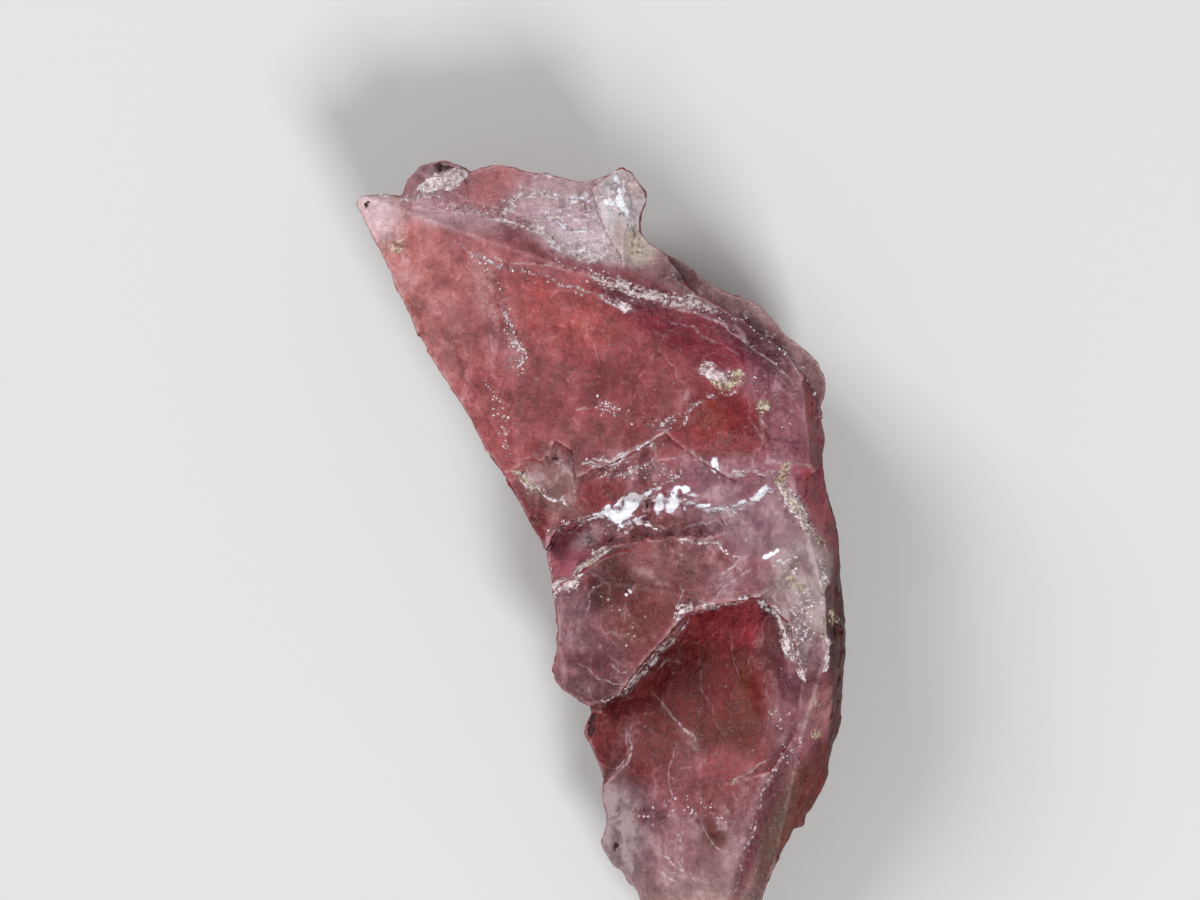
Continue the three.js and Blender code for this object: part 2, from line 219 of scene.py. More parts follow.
    Stroke("long thin step", Mark.GLINT, 0.035, 1.1, ((2.21, 1.23), (2.8, 1.34), (3.33, 1.55))),
    Stroke("step at the right end", Mark.GLINT, 0.055, 1.3, ((3.25, 1.51), (3.5, 1.66), (3.7, 1.83))),
    Stroke("upper ledge's first step", Mark.GLINT, 0.05, 1.1, ((0.2, 2.3), (0.4, 2.38), (0.56, 2.49))),
    Stroke("upper ledge's second step", Mark.GLINT, 0.035, 1.0, ((0.67, 2.6), (1.05, 2.77))),
    Stroke("plate's bright flakes", Mark.VEIN, 0.09, 1.5,
           ((-1.15, 7.29), (-0.72, 7.05), (-0.19, 6.88), (0.24, 6.91))),
    Stroke("the knob's pale streak", Mark.VEIN, 0.16, 3.0,
           ((-3.98, 8.31), (-3.6, 8.46), (-3.21, 8.61), (-2.94, 8.72))),
    Stroke("the knob's dark hollow", Mark.CRACK, 0.13, 0.5, ((-3.64, 8.82), (-3.32, 8.84))),
    Stroke("pointed corner's top edge", Mark.VEIN, 0.06, 1.2, ((-5.09, 8.23), (-4.77, 8.25), (-4.3, 8.2))),
    Stroke("horn's white face", Mark.VEIN, 0.19, 2.4, ((0.33, 8.52), (0.39, 8.14), (0.52, 7.71))),
    Stroke("horn's ridge", Mark.GLINT, 0.07, 1.3, ((0.33, 8.52), (0.38, 8.25), (0.5, 7.95), (0.58, 7.63))),
    Stroke("horn's left step", Mark.GLINT, 0.07, 1.1, ((0.09, 8.06), (0.3, 7.97))),
    Stroke("horn's lower face", Mark.VEIN, 0.12, 1.4, ((0.08, 7.5), (0.11, 7.16), (0.24, 6.82))),
    Stroke("horn's cream foot", Mark.CLAY, 0.16, 0.9, ((0.71, 7.33), (0.8, 7.07), (0.97, 6.9))),
    Stroke("horn's right flank", Mark.VEIN, 0.12, 1.2, ((0.71, 8.03), (0.73, 7.61), (0.67, 7.29))),
    Stroke("plate's second stria", Mark.HAIR, 0.035, 1.2, ((-1.54, 7.87), (-0.78, 7.78), (-0.12, 7.54))),
    Stroke("plate's third stria", Mark.HAIR, 0.035, 1.2, ((-1.17, 7.54), (-0.49, 7.4), (-0.16, 7.31))),
    Stroke("plate's fourth stria", Mark.HAIR, 0.03, 1.1, ((-1.31, 8.3), (-0.49, 8.16), (-0.03, 7.97))),
    Stroke("plate's sixth stria", Mark.HAIR, 0.03, 1.0, ((-1.76, 7.71), (-0.93, 7.61), (-0.19, 7.42))),
    Stroke("plate's seventh stria", Mark.HAIR, 0.03, 1.0, ((-1.47, 8.03), (-0.61, 7.95), (0.03, 7.76))),
    Stroke("plate's eighth stria", Mark.HAIR, 0.03, 0.9, ((-1.04, 7.33), (-0.48, 7.2), (-0.08, 7.12))),
    Stroke("plate's pale outline", Mark.VEIN, 0.06, 0.9,
           ((-1.79, 8.3), (-1.54, 8.57), (-1.31, 8.64), (-0.88, 8.55))),
    Stroke("plate's haze", Mark.HAZE, 0.5, 0.9, ((-1.68, 8.25), (-0.72, 7.82), (0.03, 7.29))),
    Stroke("plate's near haze", Mark.HAZE, 0.25, 1.0, ((-1.47, 7.39), (-0.72, 7.01), (0.03, 6.84))),
    Stroke("haze by the ridge line", Mark.HAZE, 0.3, 0.55, ((-3.06, 7.13), (-2.53, 6.7), (-2.16, 6.11))),
    Stroke("cloud in the broad face", Mark.HAZE, 0.2, 0.5, ((-3.9, 6.31), (-3.6, 6.09))),
    Stroke("second cloud in it", Mark.HAZE, 0.16, 0.45, ((-1.25, 5.13), (-1.08, 5.05))),
    Stroke("haze right of the crumbs", Mark.HAZE, 0.3, 0.35, ((-2.21, 5.9), (-1.76, 4.73), (-1.98, 3.45))),
    Stroke("crumbs on the broad face", Mark.CRUMB, 0.12, 1.1,
           ((-2.11, 5.41), (-1.98, 5.11), (-1.72, 4.77), (-1.81, 4.41))),
    Stroke("crumbs strewn round them", Mark.CRUMB, 0.3, 0.6, ((-2.3, 5.84), (-2.0, 5.15), (-1.83, 4.3))),
    Stroke("crumbs strewn lower down", Mark.CRUMB, 0.26, 0.5, ((-2.47, 4.09), (-2.21, 3.45), (-1.98, 2.6))),
    Stroke("crumbs lower on it", Mark.CRUMB, 0.06, 0.8,
           ((-2.34, 3.88), (-2.13, 3.58), (-2.04, 3.19), (-2.15, 2.6))),
    Stroke("crumbs strewn in the middle", Mark.CRUMB, 0.36, 0.45,
           ((-0.19, 3.66), (0.67, 3.24), (1.63, 3.13))),
    Stroke("crumbs strewn by the shoulder", Mark.CRUMB, 0.4, 0.36,
           ((2.37, 4.3), (3.44, 4.09), (4.29, 2.81))),
    Stroke("crumbs strewn at the rim", Mark.CRUMB, 0.2, 0.4, ((1.73, 5.69), (3.23, 5.15), (4.51, 4.09))),
    Stroke("crumbs strewn by the ridge", Mark.CRUMB, 0.2, 0.4, ((-2.75, 6.9), (-1.47, 6.41), (-0.4, 6.01))),
    Stroke("corner spot", Mark.CLAY, 0.17, 0.8, ((-4.62, 6.97), (-4.49, 7.05), (-4.37, 7.18))),
    Stroke("shoulder spot's white part", Mark.VEIN, 0.13, 1.5, ((2.18, 4.37), (2.44, 4.3), (2.69, 4.17))),
    Stroke("shoulder spot", Mark.CLAY, 0.16, 0.8, ((2.4, 4.09), (2.69, 4.0), (2.97, 4.09), (3.1, 4.24))),
    Stroke("shoulder spot's pink haze", Mark.HAZE, 0.22, 0.9, ((2.69, 4.22), (3.12, 4.17))),
    Stroke("olive spot", Mark.CLAY, 0.15, 0.9, ((4.06, 2.36), (3.93, 2.06), (3.78, 1.93))),
    Stroke("clay trail's white part", Mark.VEIN, 0.2, 1.5,
           ((3.85, 1.89), (4.08, 1.53), (4.36, 1.15), (4.57, 0.83))),
    Stroke("clay trail", Mark.CLAY, 0.12, 0.6, ((3.82, 1.91), (4.06, 1.59), (4.29, 1.25), (4.59, 0.76))),
    Stroke("clay trail's foot", Mark.CLAY, 0.12, 0.9, ((4.7, 0.61), (4.83, 0.55))),
    Stroke("crumbs along the clay trail", Mark.CRUMB, 0.2, 0.9, ((3.91, 1.96), (4.29, 1.4), (4.68, 0.68))),
    Stroke("clay in the frost patch", Mark.CLAY, 0.1, 0.8, ((3.93, -0.18), (4.23, -0.24), (4.38, -0.39))),
    Stroke("frost patch's left edge", Mark.VEIN, 0.07, 1.5,
           ((3.54, -0.8), (3.85, -1.02), (4.03, -1.37), (4.05, -1.74), (4.21, -2.06))),
    Stroke("frost patch's middle drip", Mark.VEIN, 0.08, 1.4,
           ((4.27, -1.78), (4.35, -2.14), (4.46, -2.42))),
    Stroke("frost patch's right loop", Mark.VEIN, 0.045, 1.5,
           ((4.77, -1.0), (4.86, -1.3), (4.98, -1.63), (4.98, -1.95), (4.88, -2.18))),
    Stroke("frost patch's right border", Mark.VEIN, 0.06, 1.6,
           ((4.87, 0.25), (4.85, -0.28), (4.83, -0.71))),
    Stroke("frost patch's middle", Mark.HAZE, 0.36, 1.0, ((4.03, 0.14), (4.19, -0.5), (4.19, -1.24))),
    Stroke("frost patch's right part", Mark.HAZE, 0.3, 0.9, ((4.67, 0.36), (4.63, -0.28), (4.49, -1.14))),
    Stroke("frost patch's foot", Mark.HAZE, 0.2, 1.0, ((4.19, -1.46), (4.36, -1.99))),
    Stroke("cream on the lobe line", Mark.VEIN, 0.1, 2.0,
           ((-1.04, -0.59), (-0.87, -0.36), (-0.68, -0.38), (-0.54, -0.19), (-0.37, 0.07))),
    Stroke("lobe line's upper part", Mark.VEIN, 0.11, 2.0,
           ((-0.4, 0.07), (-0.21, 0.16), (-0.08, 0.25), (0.06, 0.33), (0.2, 0.48))),
    Stroke("clay on the lobe line", Mark.CLAY, 0.07, 0.8, ((-0.37, 0.09), (-0.08, 0.24), (0.06, 0.3))),
    Stroke("haze under the lobe line", Mark.HAZE, 0.16, 0.45, ((-0.23, -0.07), (0.08, 0.08), (0.3, 0.29))),
    Stroke("haze in the left pocket", Mark.HAZE, 0.12, 0.8, ((-1.0, 0.51), (-0.72, 0.83), (-0.19, 0.63))),
    Stroke("crack beside the notch", Mark.HAIR, 0.02, 0.5, ((-0.68, 2.45), (-0.63, 1.74), (-0.59, 1.21))),
    Stroke("dark foot of that crack", Mark.CRACK, 0.035, 0.4, ((-0.65, 1.96), (-0.61, 1.4))),
    Stroke("left notch's pale clay", Mark.VEIN, 0.13, 1.3, ((-1.87, 2.1), (-1.64, 1.87), (-1.49, 1.78))),
    Stroke("left notch", Mark.CLAY, 0.12, 0.7, ((-1.93, 2.15), (-1.68, 1.89), (-1.36, 1.7))),
    Stroke("left notch's grey haze", Mark.HAZE, 0.34, 1.1, ((-1.57, 1.96), (-1.15, 1.66), (-0.83, 1.53))),
    Stroke("haze above the notch", Mark.HAZE, 0.12, 0.9, ((-0.97, 2.6), (-0.91, 2.28), (-0.72, 2.06))),
    Stroke("lobe's arc", Mark.HAZE, 0.17, 1.0,
           ((1.47, 0.51), (1.84, 0.61), (2.37, 0.57), (2.74, 0.44), (3.11, 0.23))),
    Stroke("lobe's arc's bright crumbs", Mark.VEIN, 0.05, 0.9,
           ((1.73, 0.61), (2.37, 0.59), (2.76, 0.46), (3.12, 0.23))),
    Stroke("pale streaks across the arc", Mark.HAZE, 0.12, 0.6, ((2.1, 0.89), (2.12, 0.14), (2.05, -0.6))),
    Stroke("line above the lobe's pink facet", Mark.HAIR, 0.03, 0.9,
           ((2.31, -0.47), (2.78, -0.01), (3.15, 0.23))),
    Stroke("lobe's pink facet", Mark.HAZE, 0.3, 0.8, ((2.48, -0.44), (3.01, -0.18), (3.33, -0.07))),
    Stroke("grey haze on the hollow's wall", Mark.HAZE, 0.24, 0.45,
           ((3.5, -1.5), (3.55, -1.99), (3.7, -2.52))),
    Stroke("hollow's left vein", Mark.HAIR, 0.035, 0.9,
           ((0.75, -3.38), (0.67, -3.8), (0.6, -4.34), (0.24, -4.66))),
    Stroke("pink face's pale band", Mark.HAZE, 0.17, 0.9, ((1.8, -3.48), (2.14, -4.02), (2.17, -5.19))),
    Stroke("pink face's left band", Mark.HAZE, 0.15, 0.8, ((1.35, -4.44), (1.46, -4.98), (1.63, -5.72))),
    Stroke("pink face's right band", Mark.HAZE, 0.14, 0.8, ((2.65, -4.76), (2.71, -5.3), (2.8, -5.94))),
    Stroke("pink face's rim haze", Mark.HAZE, 0.14, 0.8, ((3.65, -4.34), (3.18, -5.51), (2.97, -6.58))),
    Stroke("pink face's lower line", Mark.HAIR, 0.025, 0.8, ((1.62, -5.82), (1.8, -6.39), (1.86, -6.68))),
    Stroke("pink face's foot line", Mark.HAIR, 0.025, 0.8, ((1.19, -6.63), (1.56, -6.82), (1.8, -6.96))),
    Stroke("white crumb right of the hollow", Mark.CLAY, 0.05, 1.4, ((3.73, -3.21), (3.82, -3.31))),
    Stroke("pit in the pale corner", Mark.CRACK, 0.05, 0.8, ((0.35, -6.04), (0.38, -6.23))),
    Stroke("crumbs strewn on the pink face", Mark.CRUMB, 0.4, 0.45,
           ((0.67, -5.51), (1.73, -5.3), (3.01, -5.51))),
    Stroke("crumbs strewn right of the hollow", Mark.CRUMB, 0.3, 0.5,
           ((3.87, -3.16), (4.19, -3.8), (3.87, -4.44))),
    Stroke("crumbs strewn over the frost", Mark.CRUMB, 0.36, 0.75,
           ((4.08, 0.04), (4.51, -0.71), (4.29, -1.78))),
    Stroke("crumbs strewn on the waist", Mark.CRUMB, 0.24, 0.5,
           ((-1.04, 0.89), (-0.4, 0.89), (0.24, 0.78))),
    Stroke("main ledge's brightest step", Mark.GLINT, 0.13, 1.4, ((0.2, 1.12), (0.54, 1.25), (0.77, 1.49))),
    Stroke("its upper corner", Mark.GLINT, 0.09, 1.3, ((0.58, 1.49), (0.86, 1.61))),
    Stroke("its thin left end", Mark.GLINT, 0.04, 1.1, ((-0.51, 1.04), (-0.08, 1.15), (0.2, 1.23))),
    Stroke("block right of the gap", Mark.GLINT, 0.11, 1.4, ((1.26, 1.21), (1.26, 1.44), (1.35, 1.66))),
    Stroke("block's right end", Mark.GLINT, 0.1, 1.3, ((1.5, 1.21), (1.58, 1.46), (1.63, 1.68))),
    Stroke("shadow in that block", Mark.CRACK, 0.03, 0.45, ((1.39, 1.27), (1.44, 1.53))),
    Stroke("gap in the main ledge", Mark.CRACK, 0.045, 0.48, ((1.01, 1.72), (1.0, 1.4), (1.03, 1.04))),
    Stroke("splintered steps", Mark.GLINT, 0.06, 1.2,
           ((1.78, 1.29), (1.97, 1.42), (2.2, 1.36), (2.4, 1.4))),
    Stroke("upper splinters", Mark.GLINT, 0.045, 1.0, ((1.67, 1.7), (1.9, 1.83), (2.01, 1.72))),
    Stroke("rag under the brightest step", Mark.VEIN, 0.07, 1.3, ((0.62, 1.0), (0.99, 1.0), (1.35, 0.83))),
    Stroke("second rag under it", Mark.VEIN, 0.06, 1.2, ((0.09, 0.97), (0.45, 0.89), (0.67, 0.76))),
    Stroke("lilac haze round the ledge", Mark.HAZE, 0.3, 0.9, ((0.24, 1.0), (1.09, 1.27), (2.16, 1.49))),
    Stroke("lilac haze on the upper ledge", Mark.HAZE, 0.16, 1.1,
           ((-0.19, 2.25), (0.35, 2.38), (1.09, 2.72))),
    Stroke("haze right of the upper ledge", Mark.HAZE, 0.2, 0.8, ((1.2, 3.02), (1.52, 3.45), (2.05, 3.88))),
    Stroke("frost patch's bright rim", Mark.HAZE, 0.14, 1.2, ((4.83, 0.36), (4.85, -0.39), (4.76, -1.03))),
    Stroke("frost patch's right foot", Mark.HAZE, 0.14, 0.9, ((4.72, -1.14), (4.93, -1.67), (4.89, -2.14))),
    Stroke("frost patch's widest part", Mark.HAZE, 0.42, 0.9, ((4.4, 0.25), (4.51, -0.39), (4.4, -1.14))),
    Stroke("pocket's upper edge", Mark.HAZE, 0.1, 1.0, ((-0.97, 0.76), (-0.57, 0.93), (-0.08, 0.89))),
    Stroke("lobe's greenish smear", Mark.HAZE, 0.12, 0.8, ((0.54, -0.88), (0.62, -1.16))),
    Stroke("lobe's lower haze", Mark.HAZE, 0.22, 0.25, ((-0.72, -2.1), (-0.4, -2.63), (0.24, -2.84))),
    Stroke("horn's left border", Mark.VEIN, 0.08, 1.3,
           ((-0.08, 8.03), (0.03, 7.5), (0.24, 7.07), (0.45, 6.8))),
    Stroke("hollow's long scratch", Mark.HAIR, 0.022, 0.8,
           ((1.09, -2.69), (1.63, -3.27), (1.97, -3.68), (2.18, -3.97))),
    Stroke("knots in the frost patch", Mark.VEIN, 0.07, 0.9, ((3.87, 0.14), (4.19, 0.36), (4.51, 0.4))),
    Stroke("second knots in it", Mark.VEIN, 0.06, 0.9, ((4.08, -0.82), (4.29, -1.14), (4.4, -1.56))),
    Stroke("upper ledge's white rags", Mark.VEIN, 0.09, 1.2, ((-0.31, 2.3), (0.03, 2.38), (0.39, 2.34))),
    Stroke("white flecks above the ledge", Mark.VEIN, 0.06, 0.9, ((0.24, 2.06), (0.67, 2.06), (1.05, 2.3))),
    Stroke("flecks right of the upper ledge", Mark.VEIN, 0.06, 0.8,
           ((1.2, 3.02), (1.35, 3.24), (1.63, 3.38))),
    Stroke("broken middle's haze", Mark.HAZE, 0.3, 0.6, ((0.03, 1.96), (0.67, 2.06), (1.52, 2.06))),
    Stroke("crumbs in the broken middle", Mark.CRUMB, 0.3, 0.7, ((0.03, 2.06), (0.88, 2.17), (1.73, 2.06))),
    Stroke("wisp on the lobe", Mark.HAZE, 0.08, 0.8, ((-0.4, -0.82), (-0.48, -1.35), (-0.4, -1.88))),
    Stroke("second wisp on the lobe", Mark.HAZE, 0.07, 0.7, ((0.24, -1.35), (0.67, -1.56), (1.2, -1.46))),
    Stroke("third wisp on the lobe", Mark.HAZE, 0.07, 0.7, ((0.67, 0.04), (1.2, -0.18), (1.73, -0.5))),
    Stroke("wisp on the pink face", Mark.HAZE, 0.07, 0.8, ((1.09, -4.34), (1.2, -4.98), (1.14, -5.62))),
    Stroke("second wisp on the pink face", Mark.HAZE, 0.07, 0.8,
           ((2.48, -5.51), (2.91, -5.83), (3.12, -6.36))),
    Stroke("vein's lower strand", Mark.VEIN, 0.1, 0.8, ((-0.06, 5.99), (0.35, 5.75), (0.75, 5.6))),
    Stroke("haze behind the pointed corner", Mark.HAZE, 0.2, 1.0,
           ((-4.13, 8.06), (-3.17, 7.74), (-2.11, 7.71))),
    Stroke("crumbs behind the pointed corner", Mark.CRUMB, 0.12, 0.8,
           ((-3.7, 8.03), (-2.96, 7.82), (-2.11, 7.82))),
    Stroke("haze in the waist", Mark.HAZE, 0.2, 0.6, ((1.2, 0.57), (1.95, 0.36), (2.69, 0.19))),
    Stroke("plate's bright streaks", Mark.VEIN, 0.05, 1.4, ((-1.47, 8.27), (-0.83, 8.12), (0.03, 7.82))),
    Stroke("plate's second streaks", Mark.VEIN, 0.05, 1.3, ((-1.36, 7.71), (-0.72, 7.54), (-0.08, 7.33))),
    Stroke("white of the rim above the oval", Mark.VEIN, 0.06, 0.9,
           ((1.73, 3.13), (1.9, 3.38), (2.25, 3.7))),
    Stroke("haze in the horn's left crease", Mark.HAZE, 0.09, 1.3,
           ((-0.12, 8.25), (0.03, 7.61), (0.26, 7.03), (0.5, 6.69))),
    Stroke("haze on the broad face's upper left", Mark.HAZE, 0.3, 0.55,
           ((-2.85, 6.75), (-2.32, 6.01), (-2.0, 4.94))),
    Stroke("crumbs on its upper left", Mark.CRUMB, 0.22, 0.6, ((-2.64, 6.75), (-2.21, 6.11), (-2.0, 5.37))),
    Stroke("white streak on the plate's left", Mark.VEIN, 0.07, 1.5,
           ((-2.21, 7.71), (-1.93, 8.03), (-1.72, 8.27))),
    Stroke("white streak by the horn", Mark.VEIN, 0.06, 1.5, ((-0.55, 8.23), (-0.19, 8.1), (0.2, 8.16))),
    Stroke("long white streak of the plate", Mark.VEIN, 0.045, 1.6,
           ((-1.68, 7.61), (-1.04, 7.33), (-0.4, 7.14), (0.11, 7.14))),
    Stroke("horn's tip", Mark.GLINT, 0.05, 1.0, ((0.3, 8.61), (0.37, 8.35), (0.43, 8.1))),
    Stroke("left notch's cream streak", Mark.VEIN, 0.06, 0.95, ((-1.49, 1.83), (-1.15, 1.59), (-0.8, 1.4))),
    Stroke("thin step over the brightest", Mark.GLINT, 0.035, 1.2,
           ((0.24, 1.36), (0.62, 1.55), (1.09, 1.66))),
    Stroke("thin step under the brightest", Mark.GLINT, 0.03, 1.0,
           ((0.03, 1.04), (0.56, 1.0), (1.05, 1.15))),
    Stroke("thin step over the block", Mark.GLINT, 0.03, 1.1, ((1.2, 1.64), (1.73, 1.72), (2.2, 1.61))),
    Stroke("lilac wing of the ledge", Mark.HAZE, 0.16, 0.9, ((1.95, 1.64), (2.69, 1.72), (3.44, 1.93))),
    Stroke("knob's pink foot", Mark.VEIN, 0.07, 2.0, ((-4.13, 8.12), (-3.92, 8.27), (-3.7, 8.38))),
    Stroke("crumbs on the lobe", Mark.CRUMB, 0.4, 0.4, ((-0.19, -0.5), (0.67, -1.03), (0.24, -1.88))),
    Stroke("crumbs on the band", Mark.CRUMB, 0.2, 0.45, ((-1.25, 6.86), (-0.19, 6.43), (1.09, 5.9))),
    Stroke("thick of the broad face's crumbs", Mark.VEIN, 0.055, 0.85,
           ((-2.11, 5.74), (-1.98, 5.26), (-1.7, 4.81), (-1.81, 4.41))),
    Stroke("haze round them", Mark.HAZE, 0.16, 0.7, ((-2.15, 5.79), (-1.93, 5.15), (-1.76, 4.41))),
    Stroke("haze behind the ridge", Mark.HAZE, 0.17, 0.9,
           ((-0.08, 6.35), (0.77, 6.03), (1.73, 5.84), (2.48, 5.67))),
    Stroke("plate's first glassy streak", Mark.GLINT, 0.03, 0.85,
           ((-1.55, 8.31), (-0.93, 8.23), (-0.14, 8.01))),
    Stroke("plate's second glassy streak", Mark.GLINT, 0.03, 0.85,
           ((-1.25, 7.63), (-0.68, 7.5), (-0.12, 7.24))),
    Stroke("plate's third glassy streak", Mark.GLINT, 0.028, 0.8,
           ((-0.8, 7.05), (-0.4, 6.95), (0.09, 6.84))),
    Stroke("plate's fourth glassy streak", Mark.GLINT, 0.028, 0.75,
           ((-0.97, 7.95), (-0.51, 7.82), (0.01, 7.61))),
    Stroke("plate's bright near edge", Mark.VEIN, 0.16, 1.5, ((-1.15, 7.23), (-0.51, 6.86), (0.11, 6.88))),
    Stroke("vein behind the ridge", Mark.VEIN, 0.2, 1.15,
           ((-0.08, 6.41), (0.67, 6.03), (1.63, 5.9), (2.43, 5.69))),
    Stroke("ridge line", Mark.VEIN, 0.06, 0.6,
           ((-3.33, 7.23), (-2.32, 6.7), (-1.15, 6.38), (-0.19, 6.03), (0.67, 5.58))),
    Stroke("seam of the thin rim", Mark.CRUMB, 0.09, 0.85,
           ((2.43, 5.67), (3.12, 5.45), (3.87, 4.89), (4.51, 4.17), (4.85, 3.53))),
    Stroke("outer seam of the rim", Mark.VEIN, 0.07, 0.4,
           ((2.69, 5.9), (3.65, 5.21), (4.4, 4.41), (4.77, 3.45))),
    Stroke("knot of crumbs", Mark.CRUMB, 0.17, 1.1, ((-0.03, 3.58), (0.56, 3.38))),
    Stroke("over the shoulder spot", Mark.VEIN, 0.06, 0.85, ((2.11, 4.37), (2.53, 4.32), (2.96, 4.17))),
    Stroke("under the shoulder spot", Mark.VEIN, 0.06, 0.85, ((2.18, 3.84), (2.59, 3.79), (2.96, 3.88))),
    Stroke("yellow spot", Mark.CLAY, 0.16, 1.0, ((3.44, 3.61), (3.63, 3.49))),
    Stroke("below the oval hollow", Mark.VEIN, 0.13, 0.55,
           ((1.95, 2.6), (2.48, 2.06), (3.12, 2.06), (3.76, 2.17))),
    Stroke("glint below the oval hollow", Mark.GLINT, 0.07, 1.0, ((2.43, 2.44), (2.5, 2.12))),
    Stroke("second glint there", Mark.GLINT, 0.05, 0.8, ((2.96, 2.01), (3.14, 1.98))),
    Stroke("left notch's upper line", Mark.VEIN, 0.08, 0.6, ((-1.2, 2.76), (-1.04, 2.33), (-0.67, 2.33))),
    Stroke("upper ledge", Mark.VEIN, 0.1, 0.9, ((-0.4, 2.25), (0.19, 2.34), (0.67, 2.6), (1.12, 2.81))),
    Stroke("ledge's upper rim", Mark.VEIN, 0.07, 0.7, ((0.67, 1.48), (1.09, 1.74), (1.73, 1.89))),
    Stroke("crescent", Mark.VEIN, 0.08, 0.55, ((2.16, 1.26), (2.53, 1.16), (3.12, 1.21))),
    Stroke("left end of the ledge", Mark.VEIN, 0.12, 0.55, ((-1.15, 0.76), (-0.72, 1.0), (-0.19, 1.08))),
    Stroke("pale facet's foot", Mark.GLINT, 0.06, 0.9, ((3.55, 0.29), (3.92, 0.44))),
    Stroke("lobe's lower line", Mark.VEIN, 0.1, 0.9,
           ((-0.08, -3.0), (0.56, -2.74), (1.09, -2.12), (1.63, -1.48), (1.93, -1.14))),
    Stroke("lobe's bright corner", Mark.VEIN, 0.13, 1.0, ((1.63, -1.14), (1.79, -0.9), (2.37, -0.86))),
    Stroke("lobe's right line", Mark.VEIN, 0.08, 0.9, ((2.16, -0.9), (2.8, -0.77), (3.46, -0.56))),
    Stroke("small lump on the right", Mark.CLAY, 0.18, 0.5, ((4.67, -2.95), (4.91, -3.08))),
    Stroke("pink face's right rim", Mark.VEIN, 0.1, 0.5,
           ((3.92, -4.12), (3.55, -4.87), (3.28, -5.94), (2.91, -7.22))),
    Stroke("dark foot of the notch", Mark.CRACK, 0.12, 0.7, ((-0.24, -3.27), (-0.19, -3.7))),
    Stroke("pit in the pointed corner", Mark.CRACK, 0.08, 0.9, ((-5.18, 8.08), (-5.09, 8.03))),
)

# Where the shard is broken into small facets: centre, radii and how strongly.
BROKEN_ZONES: tuple[tuple[tuple[float, float], tuple[float, float], float], ...] = (
    ((-0.5, 7.6), (1.4, 0.7), 0.35),
    ((0.6, 8.0), (0.6, 0.9), 0.8),
    ((1.2, 6.0), (1.6, 0.5), 0.5),
    ((0.8, 1.9), (2.0, 0.7), 0.7),
    ((1.4, 0.8), (2.2, 0.4), 0.7),
    ((-1.1, 1.9), (0.8, 0.8), 0.5),
    ((4.4, -0.8), (0.7, 1.3), 0.5),
    ((0.5, -6.3), (0.9, 1.2), 0.4),
    ((-0.9, -1.8), (0.4, 1.0), 0.3),
    ((-3.6, 8.5), (0.8, 0.5), 0.4),
)

